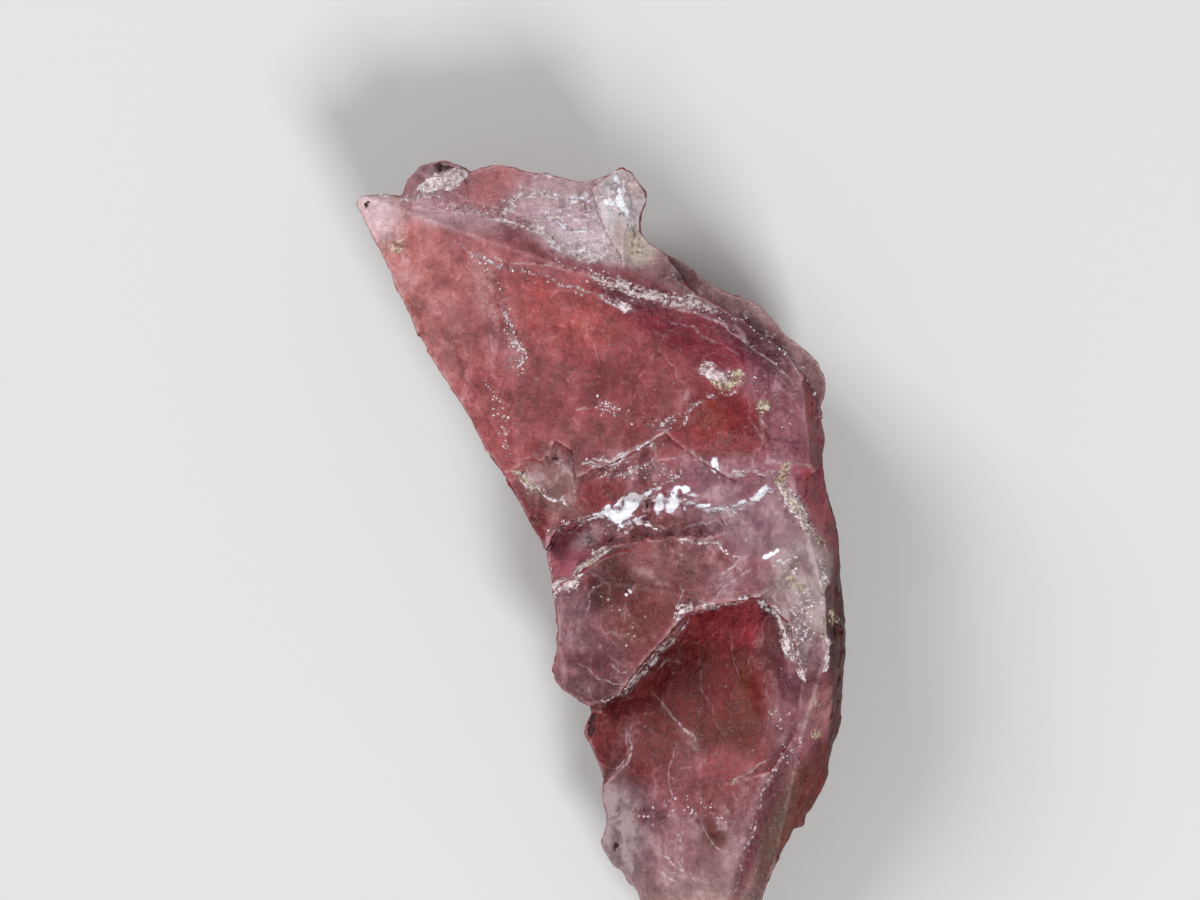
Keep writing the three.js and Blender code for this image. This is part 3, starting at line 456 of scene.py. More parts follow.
PATCHES: tuple[Patch, ...] = (
    Patch("thin left edge", (-4.13, 6.22), (1.6, 1.0), -60, (200, 116, 112), 0.15),
    Patch("left edge lower down", (-2.85, 3.45), (1.2, 0.7), -60, (178, 80, 82), 0.15),
    Patch("broad face's middle", (-1.25, 4.94), (2.2, 1.4), -40, (178, 88, 94), 0.2),
    Patch("broad face's glow", (-0.72, 5.37), (0.9, 0.6), -30, (196, 84, 80), 0.08),
    Patch("broad face's right", (0.67, 4.09), (1.6, 0.9), -25, (158, 62, 70), 0.1),
    Patch("pointed corner", (-5.09, 7.71), (0.5, 0.4), 0, (212, 150, 148), 0.25),
    Patch("knob", (-3.54, 8.62), (0.6, 0.4), 10, (160, 120, 128), 0.2),
    Patch("dome", (-2.21, 8.51), (0.8, 0.35), 0, (190, 98, 104), 0.2),
    Patch("band behind the ridge", (-1.68, 7.13), (1.8, 0.35), -20, (186, 92, 102), 0.2),
    Patch("band's far part", (1.95, 5.31), (1.6, 0.4), -22, (150, 34, 60), 0.0),
    Patch("violet end of the band", (3.44, 4.89), (0.7, 0.3), -35, (104, 24, 58), 0.0),
    Patch("plate", (-0.72, 7.66), (1.2, 0.5), -15, (188, 148, 162), 0.6),
    Patch("horn", (0.67, 8.25), (0.35, 0.6), 0, (240, 226, 232), 0.4),
    Patch("thin rim", (2.59, 6.22), (1.6, 0.4), -28, (184, 136, 136), 0.35),
    Patch("thin rim's end", (4.56, 4.41), (0.8, 0.4), -60, (176, 128, 128), 0.2),
    Patch("shoulder", (4.19, 3.45), (0.9, 0.6), -60, (156, 80, 96), 0.2),
    Patch("oval hollow", (2.69, 3.13), (0.6, 0.4), 0, (160, 46, 50), 0.0),
    Patch("broken middle", (0.24, 1.85), (1.3, 0.5), 5, (160, 76, 84), 0.2),
    Patch("below the oval", (2.8, 1.96), (0.9, 0.35), 0, (158, 88, 104), 0.3),
    Patch("left notch", (-0.93, 1.74), (0.5, 0.4), 0, (140, 96, 92), 0.3),
    Patch("left edge at the notch", (-1.47, 1.1), (0.5, 0.5), -55, (140, 34, 42), 0.0),
    Patch("waist", (0.88, 0.57), (1.6, 0.3), 0, (140, 56, 62), 0.1),
    Patch("lobe", (1.09, -0.82), (1.3, 0.9), 30, (144, 62, 66), 0.12),
    Patch("lobe's left", (-0.4, -1.46), (0.8, 1.0), 0, (150, 84, 92), 0.2),
    Patch("lobe's dark top", (1.52, 0.14), (0.9, 0.3), 0, (158, 84, 88), 0.15),
    # The deep hollow is painted dark red: partly its own deep colour, partly painted shade below the lobe's
    # cliff.
    Patch("deep hollow", (2.37, -2.1), (1.0, 1.1), 0, (160, 24, 36), 0.0),
    Patch("deep hollow's left", (1.52, -3.06), (0.5, 0.5), 0, (140, 34, 42), 0.0),
    Patch("deep hollow's glow", (3.12, -2.95), (0.3, 0.8), 0, (130, 34, 28), 0.0),
    Patch("right of the hollow", (4.4, -3.06), (0.5, 0.8), 0, (146, 78, 90), 0.2),
    Patch("notch below the lobe", (0.13, -3.8), (0.4, 0.6), 0, (128, 26, 34), 0.0),
    Patch("pale facet", (3.44, 1.0), (0.8, 0.5), 0, (150, 104, 118), 0.3),
    Patch("frost patch", (4.35, -0.6), (0.55, 0.95), -8, (142, 114, 112), 0.5),
    Patch("pink face", (2.11, -4.76), (1.2, 0.7), 0, (150, 66, 76), 0.12),
    Patch("pink face's red spot", (1.04, -4.34), (0.25, 0.4), 75, (140, 34, 42), 0.0),
    Patch("pink face's rosy spot", (2.8, -4.34), (0.4, 0.3), 0, (170, 74, 82), 0.1),
    Patch("brown spot below it", (2.55, -5.91), (0.14, 0.16), 0, (120, 50, 40), 0.0),
    Patch("pale lower left", (0.45, -5.83), (0.5, 1.1), 0, (118, 92, 98), 0.35),
    Patch("pale lower middle", (1.95, -6.26), (0.9, 0.7), 0, (150, 92, 100), 0.25),
    Patch("lower end", (2.37, -7.64), (1.2, 1.0), 0, (184, 142, 138), 0.35),
    Patch("lobe's dark spot", (-0.21, -2.08), (0.34, 0.13), -15, (130, 62, 70), 0.05),
    Patch("lobe's brown mottle", (0.77, -1.14), (0.4, 0.3), 20, (126, 56, 44), 0.0),
    Patch("lobe's second mottle", (0.24, -0.28), (0.3, 0.5), 60, (112, 36, 36), 0.0),
    Patch("red gap in the ledge", (0.94, 1.42), (0.08, 0.22), 0, (128, 34, 42), 0.0),
    Patch("oval's amber spot", (2.43, 3.24), (0.2, 0.25), 0, (156, 54, 38), 0.0),
    Patch("hollow's amber streak", (3.17, -2.74), (0.1, 0.5), 0, (140, 62, 36), 0.0),
    Patch("crimson line on the right", (3.46, -5.83), (1.7, 0.1), 72, (112, 18, 40), 0.0),
    Patch("olive band on the right", (4.03, -5.72), (0.9, 0.2), 68, (104, 62, 42), 0.05),
    Patch("rusty edge of the right side", (4.56, -4.87), (0.8, 0.16), 70, (96, 26, 20), 0.0),
    Patch("right side lower down", (3.92, -6.58), (1.2, 0.3), 70, (104, 28, 28), 0.0),
    Patch("mauve lump right of the hollow", (4.77, -3.0), (0.3, 0.35), 0, (170, 106, 110), 0.2),
    # Painted shade: the right side, away from the light, is painted nearly black-red.
    Patch("right side", (5.2, -1.78), (0.25, 2.4), 0, (56, 8, 7), 0.0),
    Patch("knob's pink side", (-4.02, 8.52), (0.22, 0.25), 60, (176, 112, 118), 0.2),
    Patch("horn's tip", (0.73, 8.46), (0.18, 0.22), 0, (244, 206, 204), 0.3),
    Patch("horn's white part", (0.35, 7.82), (0.3, 0.5), 0, (250, 248, 252), 0.4),
    Patch("horn's foot", (0.8, 7.14), (0.25, 0.25), 0, (228, 216, 202), 0.5),
    Patch("left pocket", (-0.76, 0.25), (0.35, 0.4), 20, (214, 104, 126), 0.2),
    Patch("dark patch on the lobe", (0.07, -0.31), (0.2, 0.4), -20, (92, 22, 20), 0.0),
    Patch("lobe's left mauve", (-0.65, -1.08), (0.35, 0.55), 0, (158, 106, 114), 0.25),
    Patch("lobe's pink facet", (2.96, -0.23), (0.5, 0.28), 25, (168, 100, 110), 0.3),
    Patch("red left of the ledge", (-0.19, 1.64), (0.4, 0.25), 0, (158, 50, 56), 0.0),
    Patch("crimson by the frost patch", (3.93, -1.88), (0.08, 0.6), 5, (104, 18, 44), 0.0),
    Patch("hollow's amber middle", (3.12, -2.95), (0.22, 0.6), 0, (122, 28, 16), 0.0),
    # Partly painted shade: the hollow's middle below the cliff is painted darker.
    Patch("hollow's dark middle", (1.95, -2.31), (0.5, 0.6), 0, (106, 14, 20), 0.0),
    Patch("hollow's bright top", (2.8, -1.24), (0.6, 0.3), 0, (240, 84, 100), 0.0),
    Patch("red spot on the pink face", (0.97, -4.19), (0.25, 0.32), 0, (150, 44, 50), 0.0),
    Patch("second red spot", (2.42, -5.15), (0.22, 0.34), 0, (156, 62, 68), 0.0),
    Patch("third red spot", (2.46, -4.44), (0.26, 0.2), 0, (176, 66, 78), 0.0),
    Patch("dark spot on the pink face", (1.0, -5.49), (0.16, 0.09), 0, (112, 48, 60), 0.0),
    Patch("loop's mauve inside", (4.72, -1.86), (0.14, 0.3), 0, (146, 92, 104), 0.1),
    Patch("plate's far side", (-1.04, 8.35), (0.8, 0.25), -5, (186, 150, 158), 0.5),
    Patch("dark crimson in the band", (0.67, 5.9), (0.4, 0.12), -20, (120, 24, 44), 0.0),
    Patch("pointed corner's facet", (-4.96, 7.86), (0.3, 0.4), 20, (255, 234, 242), 0.25),
    Patch("frost patch's right part", (4.59, -0.39), (0.3, 0.9), 0, (180, 158, 154), 0.6),
    Patch("mauve spot in the frost patch", (4.38, 0.04), (0.14, 0.14), 0, (118, 78, 80), 0.1),
    Patch("second mauve spot in it", (4.27, -1.14), (0.09, 0.2), 0, (116, 74, 86), 0.1),
    Patch("mauve foot of the frost patch", (4.51, -1.67), (0.14, 0.3), 0, (108, 74, 78), 0.05),
    Patch("crimson below the frost patch", (4.49, -2.63), (0.3, 0.25), 0, (116, 44, 58), 0.05),
    Patch("hollow's amber foot", (2.43, -3.54), (0.5, 0.35), 0, (118, 34, 30), 0.0),
    Patch("shaded part of the horn", (0.41, 7.33), (0.1, 0.2), 0, (186, 160, 156), 0.4),
    Patch("pale band behind the corner", (-3.12, 7.71), (0.7, 0.18), -12, (204, 158, 166), 0.5),
    Patch("brown start of the rim", (1.76, 6.56), (0.35, 0.18), -30, (116, 62, 62), 0.1),
    Patch("hollow's upper right", (3.74, -1.56), (0.16, 0.4), 0, (112, 36, 44), 0.05),
    Patch("plate's near part", (-0.4, 7.12), (0.6, 0.2), -15, (232, 214, 220), 0.6),
    Patch("pocket's pale edge", (-0.35, 0.59), (0.22, 0.1), 25, (190, 142, 152), 0.35),
    Patch("lobe's rosy foot", (-0.16, -2.63), (0.3, 0.14), -15, (116, 58, 62), 0.0),
    Patch("right edge of the shoulder", (4.93, 1.74), (0.4, 0.9), 0, (150, 50, 66), 0.1),
)


def smooth_step(low: float, high: float, values: np.ndarray) -> np.ndarray:
    """Rises smoothly from 0 at low to 1 at high.

    Args:
        low: Value where the result leaves 0.
        high: Value where the result reaches 1.
        values: The numbers to blend over.

    Returns:
        The blend at each value.
    """
    share = np.clip((values - low) / (high - low), 0.0, 1.0)
    return share * share * (3.0 - 2.0 * share)


def linear(colour: tuple[float, ...]) -> tuple[float, ...]:
    """Turns an everyday colour of 0 to 255 into the linear values that a shader takes.

    Args:
        colour: Red, green and blue from 0 to 255.

    Returns:
        Linear red, green and blue from 0 to 1.
    """
    return tuple(((part / 255.0 + 0.055) / 1.055) ** 2.4 for part in colour)


def noise_at(points: np.ndarray, scale: float, octaves: int, shift: float) -> np.ndarray:
    """Layered noise of about -1 to 1 at each point.

    Args:
        points: Places in millimetres, one row each.
        scale: Lumps to the millimetre.
        octaves: How many finer layers there are.
        shift: Moves the pattern, so that each use has its own.

    Returns:
        One value for each point.
    """
    moved = points * scale + np.array((shift, 1.7 * shift, -shift))
    values = [noise.fractal(Vector(row), 1.0, 2.1, octaves) for row in moved.tolist()]
    return np.array(values)


class Beside(NamedTuple):
    """Where points lie beside a line: how far off, to which side, and how far along."""

    away: np.ndarray
    offset: np.ndarray
    run: np.ndarray
    length: float


def beside_line(plan: np.ndarray, line: tuple[tuple[float, float], ...]) -> Beside:
    """Where each point in plan lies beside a line of straight stretches.

    Args:
        plan: X and Y of each point.
        line: The corners of the line.

    Returns:
        The distance, the signed offset and the run of each point, and the line's length.
    """
    nearest = np.full(len(plan), np.inf)
    offset = np.zeros(len(plan))
    run = np.zeros(len(plan))
    gone = 0.0
    for start, end in zip(line, line[1:]):
        from_start = plan - np.array(start)
        along = np.array(end) - np.array(start)
        length = math.hypot(*along)
        share = np.clip(from_start @ along / length**2, 0.0, 1.0)
        away = np.linalg.norm(from_start - share[:, None] * along, axis=1)
        left = np.where(along[0] * from_start[:, 1] > along[1] * from_start[:, 0], 1.0, -1.0)
        closer = away < nearest
        offset = np.where(closer, left * away, offset)
        run = np.where(closer, gone + share * length, run)
        nearest = np.minimum(nearest, away)
        gone += length
    return Beside(nearest, offset, run, gone)


class Marks(NamedTuple):
    """How strong each kind of mark is, and where points lie beside their strongest stroke."""

    found: dict[Mark, np.ndarray]
    offset: np.ndarray
    run: np.ndarray
    hair_line: np.ndarray


def finished_mesh(piece: bpy.types.Object) -> bpy.types.Mesh:
    """The mesh of a piece with its modifiers applied."""
    evaluated = piece.evaluated_get(bpy.context.evaluated_depsgraph_get())
    return bpy.data.meshes.new_from_object(evaluated)


class NodeSheet:
    """A node tree with short ways to add nodes and link them."""

    def __init__(self, tree: bpy.types.NodeTree) -> None:
        """Starts on an existing tree."""
        self.tree = tree

    def add(
        self, kind: str, inputs: dict[str | int, Value] | None = None, **settings: object
    ) -> bpy.types.Node:
        """Adds a node.

        Args:
            kind: Blender's type name of the node.
            inputs: Socket name or index to a value or to an output socket.
            settings: Properties of the node itself.

        Returns:
            The new node.
        """
        node = self.tree.nodes.new(kind)
        for name, value in settings.items():
            setattr(node, name, value)
        for name, value in (inputs or {}).items():
            if isinstance(value, bpy.types.NodeSocket):
                self.tree.links.new(value, node.inputs[name])
            else:
                node.inputs[name].default_value = value
        return node

    def reading(self, name: str) -> bpy.types.NodeSocket:
        """What the mesh says under that name, in a material."""
        return self.add("ShaderNodeAttribute", attribute_name=name).outputs["Fac"]

    def stored(self, name: str) -> bpy.types.NodeSocket:
        """What the mesh says under that name, in Geometry Nodes."""
        kind = {"data_type": "FLOAT"}
        return self.add("GeometryNodeInputNamedAttribute", {"Name": name}, **kind).outputs[0]

    def product(self, first: Value, *others: Value) -> bpy.types.NodeSocket:
        """Multiplies two or more numbers or output sockets.

        Args:
            first: The first of them.
            others: The rest.

        Returns:
            Their product.
        """
        for other in others:
            first = self.math("MULTIPLY", first, other)
        return first

    def math(
        self, operation: str, first: Value, second: Value = 0.0, clamp: bool = False
    ) -> bpy.types.NodeSocket:
        """Adds a Math node.

        Args:
            operation: What it does.
            first: A number or an output socket.
            second: A number or an output socket.
            clamp: Whether the result is kept from 0 to 1.

        Returns:
            Its output.
        """
        kind = "ShaderNodeMath"
        node = self.add(kind, {0: first, 1: second}, operation=operation, use_clamp=clamp)
        return node.outputs[0]

    def vector(self, operation: str, first: Value, second: Value) -> bpy.types.NodeSocket:
        """Adds a Vector Math node.

        Args:
            operation: What it does.
            first: A vector or an output socket.
            second: A vector or an output socket.

        Returns:
            Its vector output.
        """
        return self.add("ShaderNodeVectorMath", {0: first, 1: second}, operation=operation).outputs[0]

    def ramp(
        self, value: Value, low: float, high: float, to_low: float = 0.0, to_high: float = 1.0
    ) -> bpy.types.NodeSocket:
        """Maps a range of values smoothly to another one.

        Args:
            value: The output socket to map.
            low: Value that gives to_low.
            high: Value that gives to_high.
            to_low: Result at low.
            to_high: Result at high.

        Returns:
            The mapped output.
        """
        settings = {"interpolation_type": "SMOOTHSTEP"}
        inputs = {0: value, 1: low, 2: high, 3: to_low, 4: to_high}
        return self.add("ShaderNodeMapRange", inputs, **settings).outputs[0]

    def noise_colour(self, at: bpy.types.NodeSocket, scale: float) -> bpy.types.NodeSocket:
        """Adds three noises at once, to bend a pattern with.

        Args:
            at: Where to read them.
            scale: Lumps to the millimetre.

        Returns:
            The noises as a colour.
        """
        return self.add("ShaderNodeTexNoise", {"Vector": at, "Scale": scale}).outputs[1]

    def blend(
        self, share: Value, first: Value, second: Value, blend_type: str = "MIX"
    ) -> bpy.types.NodeSocket:
        """Mixes two colours.

        Args:
            share: How much of the second there is.
            first: A colour or an output socket.
            second: A colour or an output socket.
            blend_type: How they mix.

        Returns:
            The mixed colour.
        """
        settings = {"data_type": "RGBA", "blend_type": blend_type}
        return self.add("ShaderNodeMix", {0: share, 6: first, 7: second}, **settings).outputs[2]


def white(value: float) -> tuple[float, float, float, float]:
    """A grey of that value as a node colour."""
    return (value, value, value, 1.0)


def node_colour(colour: tuple[int, int, int]) -> tuple[float, ...]:
    """An everyday colour of 0 to 255 as a node colour."""
    return (*linear(colour), 1.0)


class Pattern(NamedTuple):
    """One noise: lumps to the millimetre, finer layers, how rough and how twisted."""

    scale: float
    detail: float
    roughness: float = 0.6
    twist: float = 0.0


def noisy(sheet: NodeSheet, at: bpy.types.NodeSocket, pattern: Pattern) -> bpy.types.NodeSocket:
    """Adds one noise.

    Args:
        sheet: The material's tree.
        at: Where to read it.
        pattern: Its lumps and layers.

    Returns:
        Its value, about 0.5 on average.
    """
    inputs = {
        "Vector": at,
        "Scale": pattern.scale,
        "Detail": pattern.detail,
        "Roughness": pattern.roughness,
        "Distortion": pattern.twist,
    }
    return sheet.add("ShaderNodeTexNoise", inputs).outputs[0]


def turned(
    sheet: NodeSheet, at: bpy.types.NodeSocket, stretch: tuple[float, float, float], turn: float
) -> bpy.types.NodeSocket:
    """Stretches and turns the place that a noise is read at.

    Args:
        sheet: The material's tree.
        at: The place.
        stretch: How much finer the noise gets each way.
        turn: How far it turns about Z.

    Returns:
        The new place.
    """
    inputs = {"Vector": at, "Scale": stretch, "Rotation": (0.0, 0.0, turn)}
    return sheet.add("ShaderNodeMapping", inputs).outputs[0]


class Textures(NamedTuple):
    """The noises that the crystal's finish shares."""

    at: bpy.types.NodeSocket
    mottle: bpy.types.NodeSocket
    blotch: bpy.types.NodeSocket
    folds: bpy.types.NodeSocket
    grain: bpy.types.NodeSocket
    sugar: bpy.types.NodeSocket
    drift: bpy.types.NodeSocket
    facet: bpy.types.NodeSocket


@dataclass(frozen=True)
class CrystalFinish:
    """See-through raspberry crystal, frosted where it is fractured and dusted with clay.

    A field that is a run of numbers and isn't a colour is a ramp: the two ends of what is
    read, and where it is given, what they turn into. Without that they turn into 0 and 1.
    """

    refraction: float = 1.60
    clear_share: float = 0.55
    absorb_colour: tuple[float, float, float, float] = (0.93, 0.30, 0.42, 1.0)
    absorb_density: float = 420.0
    gloss: float = 0.06
    frost_colour: tuple[int, int, int] = (232, 220, 224)
    frost_shade: tuple[int, int, int] = (176, 152, 154)
    haze_colour: tuple[int, int, int] = (184, 164, 168)
    clay_colour: tuple[int, int, int] = (206, 194, 172)
    clay_shade: tuple[int, int, int] = (128, 106, 82)
    # Colours of the painted highlight on glints: a near-white core and a lavender rim.
    glint_colour: tuple[int, int, int] = (244, 246, 252)
    glint_rim: tuple[int, int, int] = (184, 162, 182)
    # Dark red of cracks, also used as painted shade in creases.
    crack_and_shade_colour: tuple[int, int, int] = (60, 14, 20)
    olive_colour: tuple[int, int, int] = (124, 66, 46)
    fibre_colour: tuple[int, int, int] = (176, 92, 74)

    mottle: Pattern = Pattern(0.9, 5.0, 0.66, 0.3)
    blotch: Pattern = Pattern(2.6, 5.0, 0.66, 0.6)
    folds: Pattern = Pattern(1.3, 8.0, 0.68, 1.4)
    grain: Pattern = Pattern(9.0, 4.0, 0.7)
    sugar: Pattern = Pattern(24.0, 3.0, 0.75)
    drift: Pattern = Pattern(1.5, 6.0, 0.6, 0.5)
    drift_stretch: tuple[float, float, float] = (1.9, 0.8, 1.0)
    drift_turn: float = 0.2

    streak: Pattern = Pattern(3.0, 7.0, 0.7)
    streak_line: tuple[float, ...] = (0.04, 0.0)
    streak_patches: tuple[float, ...] = (0.38, 0.6)
    fibre_stretch: tuple[float, float, float] = (5.0, 0.5, 1.0)
    fibre_turn: float = 0.1
    stria_stretch: tuple[float, float, float] = (0.45, 3.0, 1.0)
    stria_turn: float = 0.32

    thread: Pattern = Pattern(1.0, 4.0, 0.62)
    thread_along: float = 2.2
    thread_across: float = 15.0
    thread_share: tuple[float, ...] = (0.38, 0.62, 0.3, 1.55)
    crumble_shares: tuple[float, float, float] = (4.4, 3.0, 4.0)
    crumble_drop: float = 4.7
    vein_share: tuple[float, ...] = (0.3, 1.15)
    halo_share: tuple[float, ...] = (0.35, 0.65, 0.1, 0.6)
    clay_share: tuple[float, ...] = (0.25, 1.05)
    crack_share: tuple[float, ...] = (0.25, 0.6)
    glint_blotch: tuple[float, ...] = (0.35, 0.6, 0.5, 1.3)
    glint_grain: tuple[float, ...] = (0.3, 0.5, 0.6, 1.1)
    glint_core: tuple[float, ...] = (0.42, 0.7)
    glint_share: tuple[float, ...] = (0.14, 0.62)
    glint_facet: tuple[float, ...] = (0.15, 0.4, 0.6, 1.0)

    wisp_line: tuple[float, ...] = (0.03, 0.0)
    wisp_patches: tuple[float, ...] = (0.42, 0.62)
    crack_bend: float = 1.1
    crack_cells: float = 0.75
    healed_line: tuple[float, ...] = (0.022, 0.0)
    healed_patches: tuple[float, ...] = (0.45, 0.62)
    haze_drift: tuple[float, ...] = (0.34, 0.66, 0.15, 1.0)
    haze_grain: tuple[float, ...] = (0.3, 0.7, 0.6, 1.2)
    haze_blotch: tuple[float, ...] = (0.34, 0.62, 0.4, 1.15)
    veil_mottle: tuple[float, ...] = (0.25, 0.72, 0.3, 1.4)
    veil_drift: tuple[float, ...] = (0.36, 0.64, 0.4, 1.5)
    hair_line: tuple[float, ...] = (1.7, 0.2)
    hair_grain: tuple[float, ...] = (0.38, 0.58, 0.2, 0.9)
    # Painted highlight along convex ridges, broken up by the blotch noise.
    edge_highlight_blotch: tuple[float, ...] = (0.36, 0.62, 0.3, 1.0)
    # Painted sparkles: tiny near-white spots that stand for small glints.
    sparkle_cells: float = 5.0
    sparkle_size: tuple[float, ...] = (0.17, 0.1)
    sparkle_choice: tuple[float, ...] = (0.72, 0.8)
    sparkle_side: tuple[float, ...] = (0.3, 1.0, 1.0, 0.1)
    sparkle_chipped: tuple[float, ...] = (0.0, 0.6, 0.35, 1.0)
    speck_size: tuple[float, ...] = (0.6, 0.72)
    speck_patches: tuple[float, ...] = (0.45, 0.6)
    frost_side: tuple[float, ...] = (0.6, 1.0, 1.0, 0.35)
    hair_brightness: float = 0.65

    body_range: tuple[float, float] = (0.3, 0.7)
    facet_shades: tuple[float, ...] = (0.0, 1.0, 0.72, 1.3)
    olive_patches: tuple[float, ...] = (0.5, 0.72)
    olive_share: float = 0.3
    fibre_share: float = 0.6
    # How far creases are darkened as painted shade.
    crease_shade_share: float = 0.4
    haze_tint: float = 0.45
    frost_grain: tuple[float, ...] = (0.35, 0.65)
    clay_grain: tuple[float, ...] = (0.4, 0.6)
    clear_side: tuple[float, ...] = (0.0, 1.0, 1.0, 0.2)
    rough_range: tuple[float, ...] = (0.35, 0.65, 0.24, 0.42)
    bump_strength: float = 0.65
    bump_distance: float = 0.00014

    def textures(self, sheet: NodeSheet) -> Textures:
        """Adds the noises that the finish shares.

        Args:
            sheet: The material's tree.

        Returns:
            The noises, read in millimetres.
        """
        place = sheet.add("ShaderNodeTexCoord").outputs["Object"]
        scaled = {"Vector": place, "Scale": (METRE, METRE, METRE)}
        at = sheet.add("ShaderNodeMapping", scaled).outputs[0]
        drift_at = turned(sheet, at, self.drift_stretch, self.drift_turn)
        chip = sheet.add("ShaderNodeTexVoronoi", {"Vector": at, "Scale": CHIP_SCALE}).outputs["Color"]
        return Textures(
            at=at,
            mottle=noisy(sheet, at, self.mottle),
            blotch=noisy(sheet, at, self.blotch),
            folds=noisy(sheet, at, self.folds),
            grain=noisy(sheet, at, self.grain),
            sugar=noisy(sheet, at, self.sugar),
            drift=noisy(sheet, drift_at, self.drift),
            facet=sheet.add("ShaderNodeSeparateColor", {0: chip}).outputs["Green"],
        )

    def streaks(
        self, sheet: NodeSheet, tex: Textures, stretch: tuple[float, float, float], turn: float
    ) -> bpy.types.NodeSocket:
        """Thin bright streaks that run one way.

        Args:
            sheet: The material's tree.
            tex: The shared noises.
            stretch: How much finer the streaks get each way.
            turn: How far they turn about Z.

        Returns:
            Their share.
        """
        value = noisy(sheet, turned(sheet, tex.at, stretch, turn), self.streak)
        ridge = sheet.math("ABSOLUTE", sheet.math("SUBTRACT", value, 0.5))
        patches = sheet.ramp(tex.blotch, *self.streak_patches)
        return sheet.product(sheet.ramp(ridge, *self.streak_line), patches)

    def threads(self, sheet: NodeSheet) -> bpy.types.NodeSocket:
        """Threads that run along each vein.

        Args:
            sheet: The material's tree.

        Returns:
            How bright they are.
        """
        place = {
            "X": sheet.product(sheet.reading("run"), self.thread_along),
            "Y": sheet.product(sheet.reading("offset"), self.thread_across),
        }
        at = sheet.add("ShaderNodeCombineXYZ", place).outputs[0]
        return sheet.ramp(noisy(sheet, at, self.thread), *self.thread_share)

    def inside(self, sheet: NodeSheet, tex: Textures) -> dict[str, bpy.types.NodeSocket]:
        """What shows inside the crystal: wisps, healed cracks and haze; and painted sparkles, small bright
        spots painted as highlights on the surface.

        Args:
            sheet: The material's tree.
            tex: The shared noises.

        Returns:
            The share of each.
        """
        # Wisps are the thin bright bands where folded noise passes its middle value.
        folded = sheet.math("ABSOLUTE", sheet.math("SUBTRACT", tex.folds, 0.5))
        wisp = sheet.product(
            sheet.ramp(folded, *self.wisp_line), sheet.ramp(tex.blotch, *self.wisp_patches)
        )

        # Healed cracks follow the borders of cells, and come and go.
        bent = sheet.vector("ADD", tex.at, sheet.noise_colour(tex.at, self.crack_bend))
        cells = {"Vector": bent, "Scale": self.crack_cells}
        border = sheet.add("ShaderNodeTexVoronoi", cells, feature="DISTANCE_TO_EDGE").outputs[0]
        healed = sheet.product(
            sheet.ramp(border, *self.healed_line), sheet.ramp(tex.blotch, *self.healed_patches)
        )

        haze = sheet.product(
            sheet.reading("haze"),
            sheet.ramp(tex.drift, *self.haze_drift),
            sheet.ramp(tex.grain, *self.haze_grain),
            sheet.ramp(tex.blotch, *self.haze_blotch),
        )
        veil = sheet.product(
            sheet.reading("veil"),
            sheet.ramp(tex.mottle, *self.veil_mottle),
            sheet.ramp(tex.drift, *self.veil_drift),
        )
        # Painted sparkles: near-white spots painted as tiny glints.
        sparkle_cells = {"Vector": tex.at, "Scale": self.sparkle_cells}
        cell = sheet.add("ShaderNodeTexVoronoi", sparkle_cells).outputs
        choice = sheet.add("ShaderNodeSeparateColor", {0: cell["Color"]}).outputs["Red"]
        painted_sparkles = sheet.product(
            sheet.ramp(cell["Distance"], *self.sparkle_size),
            sheet.ramp(choice, *self.sparkle_choice),
            sheet.ramp(sheet.reading("side"), *self.sparkle_side),
            sheet.ramp(sheet.reading("chipped"), *self.sparkle_chipped),
        )
        specks = sheet.product(
            sheet.ramp(tex.sugar, *self.speck_size), sheet.ramp(tex.blotch, *self.speck_patches)
        )
        return {
            "wisp": wisp,
            "healed": healed,
            "haze": haze,
            "veil": veil,
            "painted_sparkles": painted_sparkles,
            "specks": specks,
        }

    def shares(self, sheet: NodeSheet, tex: Textures) -> dict[str, bpy.types.NodeSocket]:
        """How much of each thing the surface shows.

        Args:
            sheet: The material's tree.
            tex: The shared noises.

        Returns:
            The share of each.
        """
        found = self.inside(sheet, tex)
        fibres = self.streaks(sheet, tex, self.fibre_stretch, self.fibre_turn)
        found["fibres"] = sheet.product(fibres, sheet.reading("fibre"))
        striae = self.streaks(sheet, tex, self.stria_stretch, self.stria_turn)
        found["striae"] = sheet.product(striae, sheet.reading("striae"))
        found["hair"] = sheet.product(
            sheet.ramp(sheet.math("ABSOLUTE", sheet.reading("hair_line")), *self.hair_line),
            sheet.reading("hair"),
            sheet.ramp(tex.grain, *self.hair_grain),
        )
        # Convex ridges get a painted highlight, added to the frost below.
        found["edge"] = sheet.product(sheet.reading("edge"), sheet.ramp(tex.blotch, *self.edge_highlight_blotch))

        # Coarse and fine noise together, round 1, break up the edges and middles of the marks.
        crumble = sheet.math("SUBTRACT", 0.0, self.crumble_drop)
        for value, amount in zip((tex.grain, tex.sugar, tex.blotch), self.crumble_shares):
            crumble = sheet.math("ADD", crumble, sheet.product(value, amount))
        vein = sheet.product(sheet.reading("vein"), crumble, self.threads(sheet))
        found["vein"] = sheet.ramp(vein, *self.vein_share)
        found["clay"] = sheet.ramp(sheet.product(sheet.reading("clay"), crumble), *self.clay_share)
        found["crack"] = sheet.ramp(sheet.product(sheet.reading("crack"), crumble), *self.crack_share)

        # Glints are painted highlight, kept to some of the chip facets.
        glint = sheet.product(
            sheet.reading("glint"),
            sheet.ramp(tex.blotch, *self.glint_blotch),
            sheet.ramp(tex.grain, *self.glint_grain),
        )
        found["glint_core"] = sheet.ramp(glint, *self.glint_core)
        found["glint"] = sheet.product(
            sheet.ramp(glint, *self.glint_share), sheet.ramp(tex.facet, *self.glint_facet)
        )

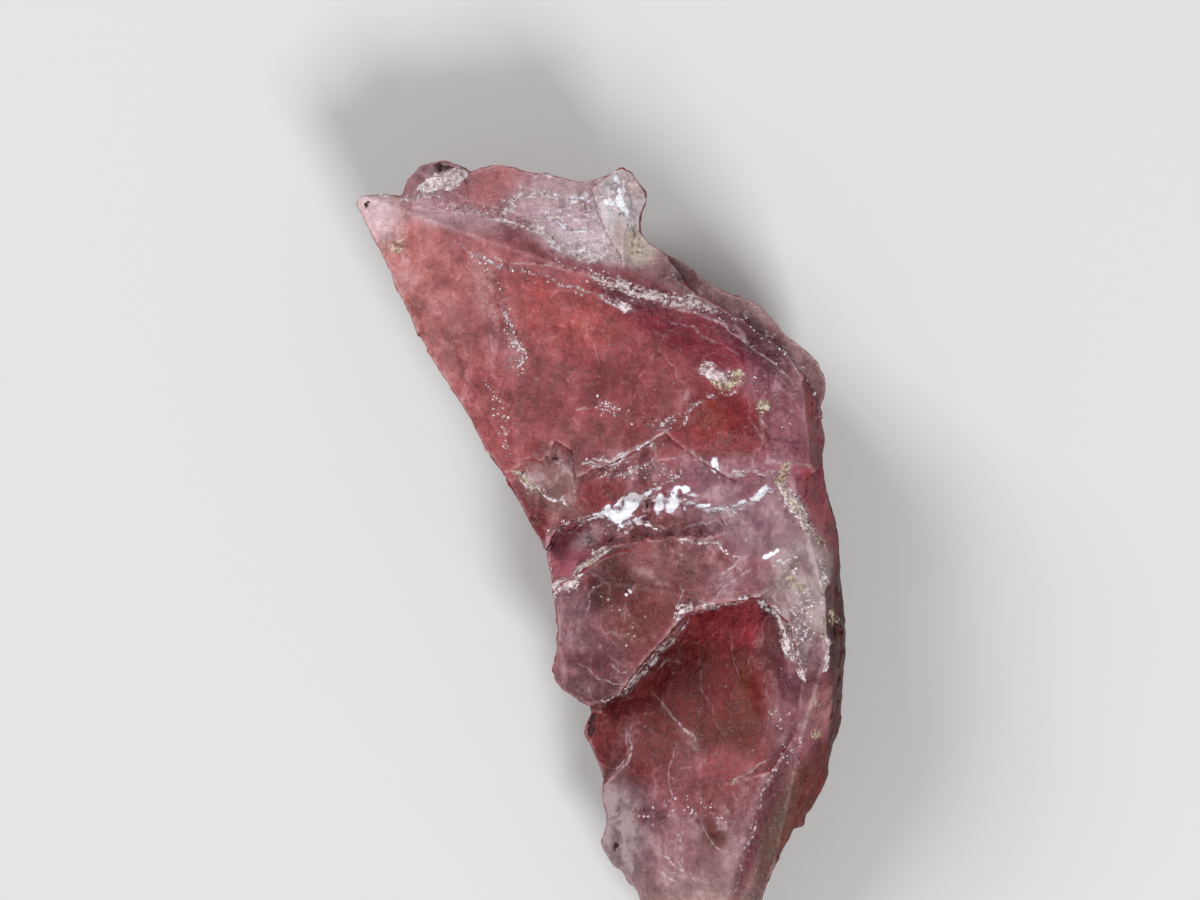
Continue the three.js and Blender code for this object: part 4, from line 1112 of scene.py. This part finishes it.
        halo = sheet.product(sheet.reading("vein"), sheet.ramp(tex.blotch, *self.halo_share))
        frost = sheet.math("MAXIMUM", sheet.math("ADD", found["veil"], found["haze"]), halo)
        # Besides frost in the crystal, this adds the painted highlight of convex ridges (edge).
        amounts = {
            "wisp": 0.28,
            "fibres": 0.1,
            "striae": 0.5,
            "healed": 0.42,
            "specks": 0.3,
            "edge": 0.8,
            "hair": 0.5,
        }
        for name, amount in amounts.items():
            frost = sheet.math("ADD", frost, sheet.product(found[name], amount))
        frost = sheet.product(frost, sheet.ramp(sheet.reading("side"), *self.frost_side))
        found["frost"] = sheet.math("MAXIMUM", frost, found["vein"], clamp=True)
        # bright gathers white veins, hairs and the painted sparkles.
        bright = sheet.product(found["hair"], self.hair_brightness)
        bright = sheet.math("MAXIMUM", found["vein"], bright)
        found["bright"] = sheet.math("MAXIMUM", bright, found["painted_sparkles"], clamp=True)
        return found

    def body(
        self, sheet: NodeSheet, tex: Textures, found: dict[str, bpy.types.NodeSocket]
    ) -> bpy.types.NodeSocket:
        """Mixes the colour of the surface.

        Args:
            sheet: The material's tree.
            tex: The shared noises.
            found: The share of each thing.

        Returns:
            The base colour.
        """
        parts = {name: sheet.reading(f"tint_{name.lower()}") for name in ("Red", "Green", "Blue")}
        tint = sheet.add("ShaderNodeCombineColor", parts).outputs[0]
        body = tint
        shades = (
            (tex.mottle, 0.72, 1.24),
            (tex.blotch, 0.76, 1.2),
            (tex.grain, 0.82, 1.2),
            (tex.sugar, 0.86, 1.2),
        )
        for value, dark, light in shades:
            shade = sheet.ramp(value, *self.body_range, dark, light)
            body = sheet.blend(1.0, body, shade, "MULTIPLY")
        shade = sheet.ramp(tex.facet, *self.facet_shades)
        body = sheet.blend(sheet.reading("chipped"), body, shade, "MULTIPLY")

        olive = sheet.product(sheet.ramp(tex.drift, *self.olive_patches), self.olive_share)
        body = sheet.blend(olive, body, node_colour(self.olive_colour))
        fibres = sheet.product(found["fibres"], self.fibre_share)
        body = sheet.blend(fibres, body, node_colour(self.fibre_colour))

        # Creases get painted shade: they are darkened towards the crack colour only where no haze or veil
        # lies over them.
        covered = sheet.math("ADD", sheet.reading("veil"), sheet.reading("haze"))
        bare = sheet.math("SUBTRACT", 1.0, covered, clamp=True)
        crease = sheet.product(sheet.reading("crease"), bare, self.crease_shade_share)
        body = sheet.blend(crease, body, node_colour(self.crack_and_shade_colour))

        haze_colour = sheet.blend(self.haze_tint, node_colour(self.haze_colour), tint)
        # Frost, with the painted ridge highlight in it, turns to the pale haze colour.
        body = sheet.blend(found["frost"], body, haze_colour)
        grain = sheet.ramp(tex.grain, *self.frost_grain)
        frost_colour = sheet.blend(grain, node_colour(self.frost_shade), node_colour(self.frost_colour))
        # Veins and hairs are white, and the painted sparkles are painted highlight in the same pale colour.
        body = sheet.blend(found["bright"], body, frost_colour)
        # Dark cracks, with the painted shadow in the ledge's block.
        body = sheet.blend(found["crack"], body, node_colour(self.crack_and_shade_colour))
        grain = sheet.ramp(tex.grain, *self.clay_grain)
        clay_colour = sheet.blend(grain, node_colour(self.clay_shade), node_colour(self.clay_colour))
        body = sheet.blend(found["clay"], body, clay_colour)
        # Painted highlight: the glints' near-white colour goes into the base colour.
        glint_colour = sheet.blend(
            found["glint_core"], node_colour(self.glint_rim), node_colour(self.glint_colour)
        )
        return sheet.blend(found["glint"], body, glint_colour)

    def clear(self, sheet: NodeSheet, found: dict[str, bpy.types.NodeSocket]) -> bpy.types.NodeSocket:
        """How see-through the surface is.

        Args:
            sheet: The material's tree.
            found: The share of each thing.

        Returns:
            The share of light that goes through.
        """
        solid = sheet.math("MAXIMUM", found["frost"], found["clay"])
        solid = sheet.math("MAXIMUM", solid, found["glint"])
        open_share = sheet.math("SUBTRACT", 1.0, solid)
        side = sheet.ramp(sheet.reading("side"), *self.clear_side)
        return sheet.product(open_share, self.clear_share, side)

    def roughness(
        self, sheet: NodeSheet, tex: Textures, found: dict[str, bpy.types.NodeSocket]
    ) -> bpy.types.NodeSocket:
        """How dull the surface is: frost and clay are duller, and glints are glassy.

        Args:
            sheet: The material's tree.
            tex: The shared noises.
            found: The share of each thing.

        Returns:
            The roughness.
        """
        rough = sheet.ramp(tex.blotch, *self.rough_range)
        rough = sheet.math("ADD", rough, sheet.product(found["frost"], 0.2))
        rough = sheet.math("ADD", rough, sheet.product(found["clay"], 0.4))
        return sheet.math("SUBTRACT", rough, sheet.product(found["glint"], 0.25), clamp=True)

    def relief(
        self, sheet: NodeSheet, tex: Textures, found: dict[str, bpy.types.NodeSocket]
    ) -> bpy.types.NodeSocket:
        """The finest relief, too fine for the mesh.

        Args:
            sheet: The material's tree.
            tex: The shared noises.
            found: The share of each thing.

        Returns:
            The bumped normal.
        """
        height = sheet.product(tex.blotch, 0.45)
        heights = (
            (tex.grain, 0.3),
            (tex.sugar, 0.1),
            (found["fibres"], 0.1),
            (found["striae"], 0.15),
            (found["vein"], 0.2),
            (found["hair"], 0.12),
        )
        for value, amount in heights:
            height = sheet.math("ADD", height, sheet.product(value, amount))
        inputs = {"Height": height, "Strength": self.bump_strength, "Distance": self.bump_distance}
        return sheet.add("ShaderNodeBump", inputs).outputs[0]

    def build(self) -> bpy.types.Material:
        """Makes the material.

        Returns:
            The crystal's material.
        """
        material = bpy.data.materials.new("raspberry_crystal")
        material.use_nodes = True
        material.node_tree.nodes.clear()
        sheet = NodeSheet(material.node_tree)
        tex = self.textures(sheet)
        found = self.shares(sheet, tex)
        shader_inputs = {
            "Base Color": self.body(sheet, tex, found),
            "Roughness": self.roughness(sheet, tex, found),
            "IOR": self.refraction,
            "Transmission Weight": self.clear(sheet, found),
            "Specular IOR Level": self.gloss,
            "Normal": self.relief(sheet, tex, found),
        }
        shader = sheet.add("ShaderNodeBsdfPrincipled", shader_inputs)
        absorb_inputs = {"Color": self.absorb_colour, "Density": self.absorb_density}
        absorb = sheet.add("ShaderNodeVolumeAbsorption", absorb_inputs)
        ends = {"Surface": shader.outputs[0], "Volume": absorb.outputs[0]}
        sheet.add("ShaderNodeOutputMaterial", ends)
        return material


@dataclass(frozen=True)
class FloorFinish:
    """Plain pale paper."""

    colour: float = 0.62
    roughness: float = 0.8

    def build(self) -> bpy.types.Material:
        """Makes the material.

        Returns:
            The floor's material.
        """
        material = bpy.data.materials.new("pale_floor")
        material.use_nodes = True
        shader = material.node_tree.nodes["Principled BSDF"]
        shader.inputs["Base Color"].default_value = white(self.colour)
        shader.inputs["Roughness"].default_value = self.roughness
        return material


@dataclass
class Weathering:
    """Fine relief that Geometry Nodes press into the broken faces."""

    lump_height: float = 0.05
    lump_scale: float = 0.8
    grain_height: float = 0.028
    grain_scale: float = 4.2
    ripple_height: float = 0.02
    ripple_scale: float = 1.5
    crumb_gap: float = 0.045
    crumb_density: float = 170.0
    crumb_least: tuple[float, float, float] = (0.014, 0.014, 0.012)
    crumb_most: tuple[float, float, float] = (0.046, 0.046, 0.036)
    crumb_shares: tuple[tuple[str, float], ...] = (("vein", 6.0), ("clay", 2.6))
    chip_tilt: float = 0.42
    chip_scale: float = CHIP_SCALE

    def inputs(self) -> dict[str, float]:
        """The tree's named inputs, in their order."""
        return {
            "Lump Height": self.lump_height,
            "Lump Scale": self.lump_scale,
            "Grain Height": self.grain_height,
            "Grain Scale": self.grain_scale,
            "Ripple Height": self.ripple_height,
            "Ripple Scale": self.ripple_scale,
            "Crumb Gap": self.crumb_gap,
            "Crumb Density": self.crumb_density,
            "Chip Tilt": self.chip_tilt,
            "Chip Scale": self.chip_scale,
        }

    def tree(self, material: bpy.types.Material) -> bpy.types.NodeTree:
        """Builds the node tree.

        Args:
            material: What the weathered faces are made of.

        Returns:
            The Geometry Nodes tree.
        """
        tree = bpy.data.node_groups.new("weathering", "GeometryNodeTree")
        tree.interface.new_socket("Geometry", in_out="INPUT", socket_type="NodeSocketGeometry")
        for name in self.inputs():
            tree.interface.new_socket(name, in_out="INPUT", socket_type="NodeSocketFloat")
        tree.interface.new_socket("Geometry", in_out="OUTPUT", socket_type="NodeSocketGeometry")
        sheet = NodeSheet(tree)
        given = sheet.add("NodeGroupInput").outputs
        place = sheet.add("GeometryNodeInputPosition").outputs[0]
        normal = sheet.add("GeometryNodeInputNormal").outputs[0]

        def layer(
            scale: str, height: str, amount: str, detail: float, turn: float
        ) -> bpy.types.NodeSocket:
            """Noise round zero, where the mesh has that amount.

            Args:
                scale: The named input that gives its lumps to the millimetre.
                height: The named input that gives how high it gets.
                amount: What the mesh calls its share of the relief.
                detail: How many finer layers it has.
                turn: Moves the pattern, so that each layer has its own.

            Returns:
                How far it raises the skin.
            """
            shifted = {0: place, 1: (turn, -turn, 2.0 * turn)}
            at = sheet.add("ShaderNodeVectorMath", shifted, operation="ADD").outputs[0]
            inputs = {"Vector": at, "Scale": given[scale], "Detail": detail, "Roughness": 0.55}
            value = sheet.add("ShaderNodeTexNoise", inputs).outputs[0]
            centred = sheet.math("MULTIPLY", sheet.math("SUBTRACT", value, 0.5), 2.0)
            raised = sheet.math("MULTIPLY", centred, given[height])
            return sheet.math("MULTIPLY", raised, sheet.stored(amount))

        lumps = layer("Lump Scale", "Lump Height", "broken", 2.0, 3.0)
        grains = layer("Grain Scale", "Grain Height", "rough", 3.0, 11.0)
        ripples = layer("Ripple Scale", "Ripple Height", "broken", 1.0, 23.0)
        total = sheet.math("ADD", sheet.math("ADD", lumps, grains), ripples)

        # Each cell of the chip pattern is one small facet, tilted its own way.
        chip_inputs = {"Vector": place, "Scale": given["Chip Scale"]}
        cell = sheet.add("ShaderNodeTexVoronoi", chip_inputs).outputs
        lean = sheet.vector("SUBTRACT", cell["Color"], (0.5, 0.5, 0.5))
        reach = sheet.vector("SUBTRACT", place, cell["Position"])
        tilt = sheet.add("ShaderNodeVectorMath", {0: lean, 1: reach}, operation="DOT_PRODUCT")
        facet = tilt.outputs["Value"]
        chipped = sheet.stored("chipped")
        facet = sheet.math("MULTIPLY", sheet.math("MULTIPLY", facet, given["Chip Tilt"]), chipped)
        total = sheet.math("ADD", total, facet)
        offset_inputs = {0: normal, "Scale": total}
        offset = sheet.add("ShaderNodeVectorMath", offset_inputs, operation="SCALE").outputs[0]
        moved = {"Geometry": given["Geometry"], "Offset": offset}
        pressed = sheet.add("GeometryNodeSetPosition", moved).outputs[0]
        joined = sheet.add("GeometryNodeJoinGeometry").inputs[0]
        for part in (pressed, self.crumbs(sheet, given, pressed)):
            tree.links.new(part, joined)
        whole = {"Geometry": joined.node.outputs[0]}
        solid = sheet.add("GeometryNodeRealizeInstances", whole).outputs[0]
        dressed = {"Geometry": solid, "Material": material}
        final = sheet.add("GeometryNodeSetMaterial", dressed).outputs[0]
        sheet.add("NodeGroupOutput", {"Geometry": final})
        return tree

    def crumbs(
        self, sheet: NodeSheet, given: bpy.types.NodeOutputs, skin: bpy.types.NodeSocket
    ) -> bpy.types.NodeSocket:
        """Scatters small crumbs, half sunk in the skin, where the mesh asks for them.

        Args:
            sheet: The tree to add to.
            given: The tree's inputs.
            skin: The weathered skin.

        Returns:
            The crumbs.
        """
        where = {
            "Mesh": skin,
            "Distance Min": given["Crumb Gap"],
            "Density Max": given["Crumb Density"],
            "Density Factor": sheet.stored("crumbs"),
            "Seed": SEED,
        }
        spread = {"distribute_method": "POISSON"}
        spots = sheet.add("GeometryNodeDistributePointsOnFaces", where, **spread).outputs[0]
        for name, times in self.crumb_shares:
            full = sheet.math("MULTIPLY", sheet.stored(name), times)
            kept = {"Geometry": spots, "Name": name, "Value": full}
            spots = sheet.add("GeometryNodeStoreNamedAttribute", kept, data_type="FLOAT").outputs[0]
        turn = {"Min": (0.0, 0.0, 0.0), "Max": (math.tau, math.tau, math.tau), "Seed": SEED + 1}
        size = {"Min": self.crumb_least, "Max": self.crumb_most, "Seed": SEED + 2}
        ball = {"Radius": 1.0, "Subdivisions": 1}
        kind = {"data_type": "FLOAT_VECTOR"}
        grains = {
            "Points": spots,
            "Instance": sheet.add("GeometryNodeMeshIcoSphere", ball).outputs[0],
            "Rotation": sheet.add("FunctionNodeRandomValue", turn, **kind).outputs[0],
            "Scale": sheet.add("FunctionNodeRandomValue", size, **kind).outputs[0],
        }
        return sheet.add("GeometryNodeInstanceOnPoints", grains).outputs[0]

    def press(self, piece: bpy.types.Object, material: bpy.types.Material) -> bpy.types.Mesh:
        """Runs the tree on a piece.

        Args:
            piece: The piece, in millimetres.
            material: What its faces are made of.

        Returns:
            The weathered mesh.
        """
        modifier = piece.modifiers.new("weathering", "NODES")
        modifier.node_group = self.tree(material)
        values = self.inputs()
        for item in modifier.node_group.interface.items_tree:
            if item.in_out == "INPUT" and item.name in values:
                modifier[item.identifier] = values[item.name]
        mesh = finished_mesh(piece)
        piece.modifiers.remove(modifier)
        return mesh


@dataclass
class Shard:
    """The one piece: the whole crystal, with its faces, hollows, veins and clay."""

    voxel: float = 0.075
    base_guard: float = 0.25
    edge_ease: float = 0.35
    wander: float = 0.11
    wander_scale: float = 2.2
    margin: float = 0.002
    stroke_gap: float = 20.0
    far_from_hair: float = 9.0
    least_taper: float = 0.45
    patch_fall: float = 1.1
    patch_reach: float = 1e-4
    least_veil: float = 0.03
    top_slope: tuple[float, float] = (0.05, 0.45)
    side_slope: tuple[float, float] = (0.35, 0.8)
    tint_slope: tuple[float, float] = (0.28, 0.55)
    right_slope: tuple[float, float] = (-0.3, 0.4)
    dark_below: tuple[float, float] = (1.0, 4.5)
    fibre_centre: tuple[float, float] = (2.6, -3.6)
    fibre_radii: tuple[float, float] = (1.9, 3.2)
    ridge_start: float = 6.0
    ridge_slope: float = -0.4
    ridge_fade: tuple[float, float] = (-0.2, 0.5)
    edge_highlight_bend: tuple[float, float] = (0.6, 2.8)
    crease_shade_bend: tuple[float, float] = (0.7, 3.4)
    clay_crumb_range: tuple[float, float] = (0.25, 0.9)
    white_crumb_range: tuple[float, float] = (0.1, 0.95)
    vein_crumb_range: tuple[float, float] = (0.4, 1.2)
    vein_crumb_share: float = 0.3
    crumbs_above: float = 0.6
    # Near black-red painted shade for the steep right faces.
    shaded_side_tint: tuple[int, int, int] = (62, 10, 10)
    under_tint: tuple[int, int, int] = (134, 46, 54)
    finish: CrystalFinish = field(default_factory=CrystalFinish)
    weathering: Weathering = field(default_factory=Weathering)

    def stock(self, node: bpy.types.Object) -> tuple[bpy.types.Object, BVHTree]:
        """Copies the CAD solid in millimetres and gives it an even skin.

        Args:
            node: The CAD node.

        Returns:
            The reskinned copy, and the CAD faces to lay it on.
        """
        shell = bmesh.new()
        shell.from_mesh(node.data)
        bmesh.ops.scale(shell, vec=(METRE, METRE, METRE), verts=shell.verts)
        bmesh.ops.remove_doubles(shell, verts=shell.verts, dist=1e-4)
        faces = BVHTree.FromBMesh(shell)
        mesh = bpy.data.meshes.new("shard_stock")
        shell.to_mesh(mesh)
        shell.free()
        stock = bpy.data.objects.new("shard_stock", mesh)
        bpy.context.scene.collection.objects.link(stock)
        skin = stock.modifiers.new("skin", "REMESH")
        skin.mode = "VOXEL"
        skin.voxel_size = self.voxel
        stock.data = finished_mesh(stock)
        stock.modifiers.remove(skin)
        return stock, faces

    def settle(self, mesh: bpy.types.Mesh, faces: BVHTree) -> None:
        """Lays the even skin back on the CAD faces, and eases its edges a little.

        Args:
            mesh: The skin.
            faces: The CAD faces.
        """
        for vertex in mesh.vertices:
            vertex.co = faces.find_nearest(vertex.co)[0]
        eased = bmesh.new()
        eased.from_mesh(mesh)
        bmesh.ops.smooth_vert(
            eased,
            verts=eased.verts,
            factor=self.edge_ease,
            use_axis_x=True,
            use_axis_y=True,
            use_axis_z=True,
        )
        bmesh.ops.triangulate(eased, faces=eased.faces)
        bmesh.ops.recalc_face_normals(eased, faces=eased.faces)
        eased.to_mesh(mesh)
        eased.free()

    def read(self, mesh: bpy.types.Mesh) -> tuple[np.ndarray, np.ndarray]:
        """Reads a mesh.

        Args:
            mesh: The mesh to read.

        Returns:
            Its points and its point normals.
        """
        places = np.empty(len(mesh.vertices) * 3)
        mesh.vertices.foreach_get("co", places)
        normals = np.empty(len(mesh.vertices) * 3)
        mesh.vertices.foreach_get("normal", normals)
        return places.reshape(-1, 3), normals.reshape(-1, 3)

    def marks(self, places: np.ndarray, top: np.ndarray) -> Marks:
        """How strong each kind of mark is at each point.

        Args:
            places: The points.
            top: How much each point faces up.

        Returns:
            The strengths, and where each point lies beside its strokes.
        """
        sway_x = noise_at(places, self.wander_scale, 3, 5.0)
        sway_y = noise_at(places, self.wander_scale, 3, 17.0)
        plan = places[:, :2] + self.wander * np.column_stack((sway_x, sway_y))
        found = {mark: np.zeros(len(places)) for mark in Mark}
        hair_line = np.full(len(places), self.far_from_hair)
        hair_nearest = np.full(len(places), np.inf)
        strongest = np.zeros(len(places))
        offset = np.zeros(len(places))
        run = np.zeros(len(places))
        for turn, stroke in enumerate(STROKES):
            beside = beside_line(plan, stroke.points)
            travel = beside.run / beside.length
            middle = np.sqrt(np.clip(4.0 * travel * (1.0 - travel), 0.0, 1.0))
            taper = self.least_taper + (1.0 - self.least_taper) * middle
            if stroke.mark is Mark.HAIR:
                closer = beside.away < hair_nearest
                hair_line = np.where(closer, beside.offset / (stroke.width * taper), hair_line)
                hair_nearest = np.minimum(hair_nearest, beside.away)
                fade = stroke.strength * np.clip(6.0 * travel * (1.0 - travel), 0.15, 1.0)
                found[Mark.HAIR] = np.where(closer, fade, found[Mark.HAIR])
                continue
            here = stroke.strength * np.exp(-((beside.away / (stroke.width * taper)) ** 2))
            found[stroke.mark] = np.maximum(found[stroke.mark], here)
            wins = (here > strongest) & (stroke.mark is not Mark.HAZE)
            offset = np.where(wins, beside.offset, offset)
            run = np.where(wins, beside.run + turn * self.stroke_gap, run)
            strongest = np.where(wins, here, strongest)
        found = {mark: strength * top for mark, strength in found.items()}
        return Marks(found, offset, run, hair_line)

    def tints(
        self, places: np.ndarray, top: np.ndarray, side: np.ndarray
    ) -> tuple[np.ndarray, np.ndarray]:
        """The body tint and the veil over it at each point.

        Args:
            places: The points.
            top: How much each point faces up.
            side: How much each point lies on the steep right faces below the shoulder, which get painted
                shade.

        Returns:
            Linear colours, and the share of white veil.
        """
        colours = np.zeros((len(places), 3))
        veils = np.zeros(len(places))
        weights = np.full(len(places), 1e-9)
        for patch in PATCHES:
            angle = math.radians(patch.turn)
            off = places[:, :2] - np.array(patch.centre)
            along = off[:, 0] * math.cos(angle) + off[:, 1] * math.sin(angle)
            across = off[:, 1] * math.cos(angle) - off[:, 0] * math.sin(angle)
            far = (along / patch.radii[0]) ** 2 + (across / patch.radii[1]) ** 2
            weight = np.exp(-self.patch_fall * far) + self.patch_reach / (1.0 + far)
            weight = weight / (patch.radii[0] * patch.radii[1])
            colours += weight[:, None] * np.array(linear(patch.colour))
            veils += weight * patch.veil
            weights += weight
        colours /= weights[:, None]
        veils /= weights
        # Steep faces take a plainer red, and the steep right faces are painted dark as shade.
        steep_tint_and_shade = side[:, None] * np.array(linear(self.shaded_side_tint))
        steep_tint_and_shade = steep_tint_and_shade + (1.0 - side[:, None]) * np.array(linear(self.under_tint))
        colours = top[:, None] * colours + (1.0 - top[:, None]) * steep_tint_and_shade
        veils = veils * top + self.least_veil * (1.0 - top)
        return colours, veils

    def bend(self, mesh: bpy.types.Mesh, places: np.ndarray, normals: np.ndarray) -> np.ndarray:
        """How sharply the skin bends at each point.

        Args:
            mesh: The settled skin.
            places: Its points.
            normals: Its point normals.

        Returns:
            The bend in turns to the millimetre, above 0 on ridges and below 0 in creases.
        """
        ends = np.empty(len(mesh.edges) * 2, dtype=np.int32)
        mesh.edges.foreach_get("vertices", ends)
        first, second = ends.reshape(-1, 2).T
        between = places[second] - places[first]
        squared = np.maximum((between**2).sum(axis=1), 1e-6)
        count = np.zeros(len(places))
        total = np.zeros(len(places))
        for here, sign in ((first, -1.0), (second, 1.0)):
            drop = sign * (normals[here] * between).sum(axis=1) / squared
            np.add.at(total, here, drop)
            np.add.at(count, here, 1.0)
        bent = total / count
        spread = np.zeros(len(places))
        for here, there in ((first, second), (second, first)):
            np.add.at(spread, here, bent[there])
        return 0.5 * bent + 0.5 * spread / count

    def broken_zones(self, places: np.ndarray) -> np.ndarray:
        """How roughly the shard is broken at each point, apart from its veins.

        Args:
            places: The points.

        Returns:
            A strength for each point.
        """
        strength = np.zeros(len(places))
        for centre, radii, amount in BROKEN_ZONES:
            far = (((places[:, :2] - np.array(centre)) / np.array(radii)) ** 2).sum(axis=1)
            strength = np.maximum(strength, amount * np.exp(-far))
        return strength

    def dress(self, mesh: bpy.types.Mesh) -> None:
        """Stores on the mesh what the relief and the finish read.

        Args:
            mesh: The settled skin.
        """
        places, normals = self.read(mesh)
        top = smooth_step(*self.top_slope, normals[:, 2])
        side = 1.0 - smooth_step(*self.side_slope, np.abs(normals[:, 2]))
        marks = self.marks(places, top)
        upward = smooth_step(*self.tint_slope, normals[:, 2])
        # Painted shade: only the steep faces on the right, below the shoulder, are painted dark.
        shaded_right = smooth_step(*self.right_slope, normals[:, 0])
        shaded_right = shaded_right * (1.0 - smooth_step(*self.dark_below, places[:, 1]))
        tint, veil = self.tints(places, upward, side * shaded_right)
        off_base = smooth_step(0.02, self.base_guard, places[:, 2])
        vein = np.maximum(marks.found[Mark.VEIN], 0.4 * marks.found[Mark.CRUMB])
        rough = 0.25 + np.maximum(vein, marks.found[Mark.CLAY]) + 0.5 * (1.0 - top)
        from_fibres = (places[:, :2] - np.array(self.fibre_centre)) / np.array(self.fibre_radii)
        fibre = np.exp(-(from_fibres**2).sum(axis=1))
        behind_ridge = places[:, 1] - (self.ridge_start + self.ridge_slope * places[:, 0])
        striae = smooth_step(*self.ridge_fade, behind_ridge)
        bend = self.bend(mesh, places, normals)
        off_base_top = off_base * (0.5 + 0.5 * top)
        clay_crumbs = smooth_step(*self.clay_crumb_range, marks.found[Mark.CLAY])
        white_crumbs = smooth_step(*self.white_crumb_range, marks.found[Mark.CRUMB])
        vein_crumbs = smooth_step(*self.vein_crumb_range, marks.found[Mark.VEIN])
        white_crumbs = white_crumbs + self.vein_crumb_share * vein_crumbs
        crumbs = np.clip(clay_crumbs + white_crumbs, 0.0, 1.0) * (top > self.crumbs_above)
        chipped = 0.12 + 0.9 * np.maximum(vein, marks.found[Mark.GLINT]) + self.broken_zones(places)
        chipped = chipped * (0.35 + 0.65 * top) + 0.3 * side
        rows = {
            "vein": vein,
            "glint": marks.found[Mark.GLINT],
            "clay": marks.found[Mark.CLAY],
            "crack": marks.found[Mark.CRACK],
            "veil": veil,
            "fibre": fibre,
            "striae": striae * top,
            "haze": marks.found[Mark.HAZE] * upward,
            "hair": marks.found[Mark.HAIR],
            "hair_line": marks.hair_line,
            # edge marks convex ridges for a painted highlight.
            "edge": smooth_step(*self.edge_highlight_bend, bend) * off_base_top,
            # crease marks concave creases for painted shade.
            "crease": smooth_step(*self.crease_shade_bend, -bend) * off_base,
            "side": side,
            "crumbs": crumbs,
            "run": marks.run,
            "offset": marks.offset,
            "chipped": np.clip(chipped, 0.0, 1.0) * off_base,
            "broken": off_base,
            "rough": np.clip(rough, 0.0, 1.4) * off_base,
            "tint_red": tint[:, 0],
            "tint_green": tint[:, 1],
            "tint_blue": tint[:, 2],
        }
        for name, row in rows.items():
            store = mesh.attributes.new(name, "FLOAT", "POINT")
            store.data.foreach_set("value", row.astype(np.float32))

    def keep_inside(self, mesh: bpy.types.Mesh) -> None:
        """Brings the weathered skin back inside the CAD solid's box, in metres.

        Args:
            mesh: The weathered mesh, in millimetres.
        """
        low, high = (np.array(corner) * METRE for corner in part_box(NODE))
        places = self.read(mesh)[0]
        low = low + np.array((self.margin, self.margin, 0.0))
        places = np.clip(places, low, high - self.margin) / METRE
        mesh.vertices.foreach_set("co", places.ravel())
        mesh.update()

    def build(self, node: bpy.types.Object) -> bpy.types.Object:
        """Makes the finished piece.

        Args:
            node: The CAD node that it stands for.

        Returns:
            The crystal.
        """
        material = self.finish.build()
        stock, faces = self.stock(node)
        self.settle(stock.data, faces)
        self.dress(stock.data)
        mesh = self.weathering.press(stock, material)
        self.keep_inside(mesh)
        mesh.name = "crystal_shard"
        bpy.data.objects.remove(stock)
        piece = bpy.data.objects.new("crystal_shard", mesh)
        bpy.context.scene.collection.objects.link(piece)
        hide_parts(NODE)
        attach(piece, "root")
        log.info("crystal_shard: %d triangles", len(mesh.polygons))
        return piece


@dataclass
class Studio:
    """The pale floor, the soft lights and the camera that looks straight down."""

    floor_size: float = 900.0
    floor_gap: float = 0.02
    view_centre: tuple[float, float] = (-0.011, 2.60)
    view_width: float = 26.4
    view_level: float = 3.0
    lens: float = 200.0
    sensor: float = 36.0
    world_strength: float = 0.3

    def floor(self) -> bpy.types.Object:
        """Lays the floor just under the shard.

        Returns:
            The floor.
        """
        half = self.floor_size / 2 / METRE
        level = -self.floor_gap / METRE
        corners = [(x * half, y * half, level) for x, y in ((-1, -1), (1, -1), (1, 1), (-1, 1))]
        mesh = bpy.data.meshes.new("floor")
        mesh.from_pydata(corners, [], [(0, 1, 2, 3)])
        mesh.materials.append(FloorFinish().build())
        floor = bpy.data.objects.new("floor", mesh)
        bpy.context.scene.collection.objects.link(floor)
        return floor

    def lamp(self, name: str, place: tuple[float, float, float], size: float, power: float) -> None:
        """Hangs one soft square lamp that points at the shard.

        Args:
            name: Its name.
            place: Where it hangs, in millimetres.
            size: Its side, in millimetres.
            power: Its power, in watts.
        """
        data = bpy.data.lights.new(name, "AREA")
        data.shape = "SQUARE"
        data.size = size / METRE
        data.energy = power
        lamp = bpy.data.objects.new(name, data)
        lamp.location = Vector(place) / METRE
        lamp.rotation_euler = (-Vector(place)).to_track_quat("-Z", "Y").to_euler()
        bpy.context.scene.collection.objects.link(lamp)

    def camera(self) -> None:
        """Sets the camera straight above the shard."""
        distance = self.view_width * self.lens / self.sensor
        data = bpy.data.cameras.new("camera")
        data.lens = self.lens
        data.sensor_width = self.sensor
        data.clip_start = 0.005
        data.clip_end = 10.0
        camera = bpy.data.objects.new("camera", data)
        across, along = self.view_centre
        camera.location = Vector((across, along, self.view_level + distance)) / METRE
        bpy.context.scene.collection.objects.link(camera)
        bpy.context.scene.camera = camera

    def build(self) -> None:
        """Sets up the whole studio."""
        self.camera()
        self.floor()
        self.lamp("key_light", (110.0, -200.0, 200.0), 100.0, 0.72)
        self.lamp("fill_light", (-190.0, 170.0, 200.0), 160.0, 0.8)
        world = bpy.data.worlds.new("studio")
        world.use_nodes = True
        background = world.node_tree.nodes["Background"]
        background.inputs["Color"].default_value = (1.0, 0.99, 0.98, 1.0)
        background.inputs["Strength"].default_value = self.world_strength
        bpy.context.scene.world = world
        bpy.context.scene.view_settings.view_transform = "Standard"
        log.info("studio is set")


def main() -> None:
    """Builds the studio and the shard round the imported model."""
    logging.basicConfig(level=logging.INFO, format="%(name)s: %(message)s")
    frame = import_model()
    Studio().build()
    Shard().build(frame["nodes"][NODE])


if __name__ == "__main__":
    main()
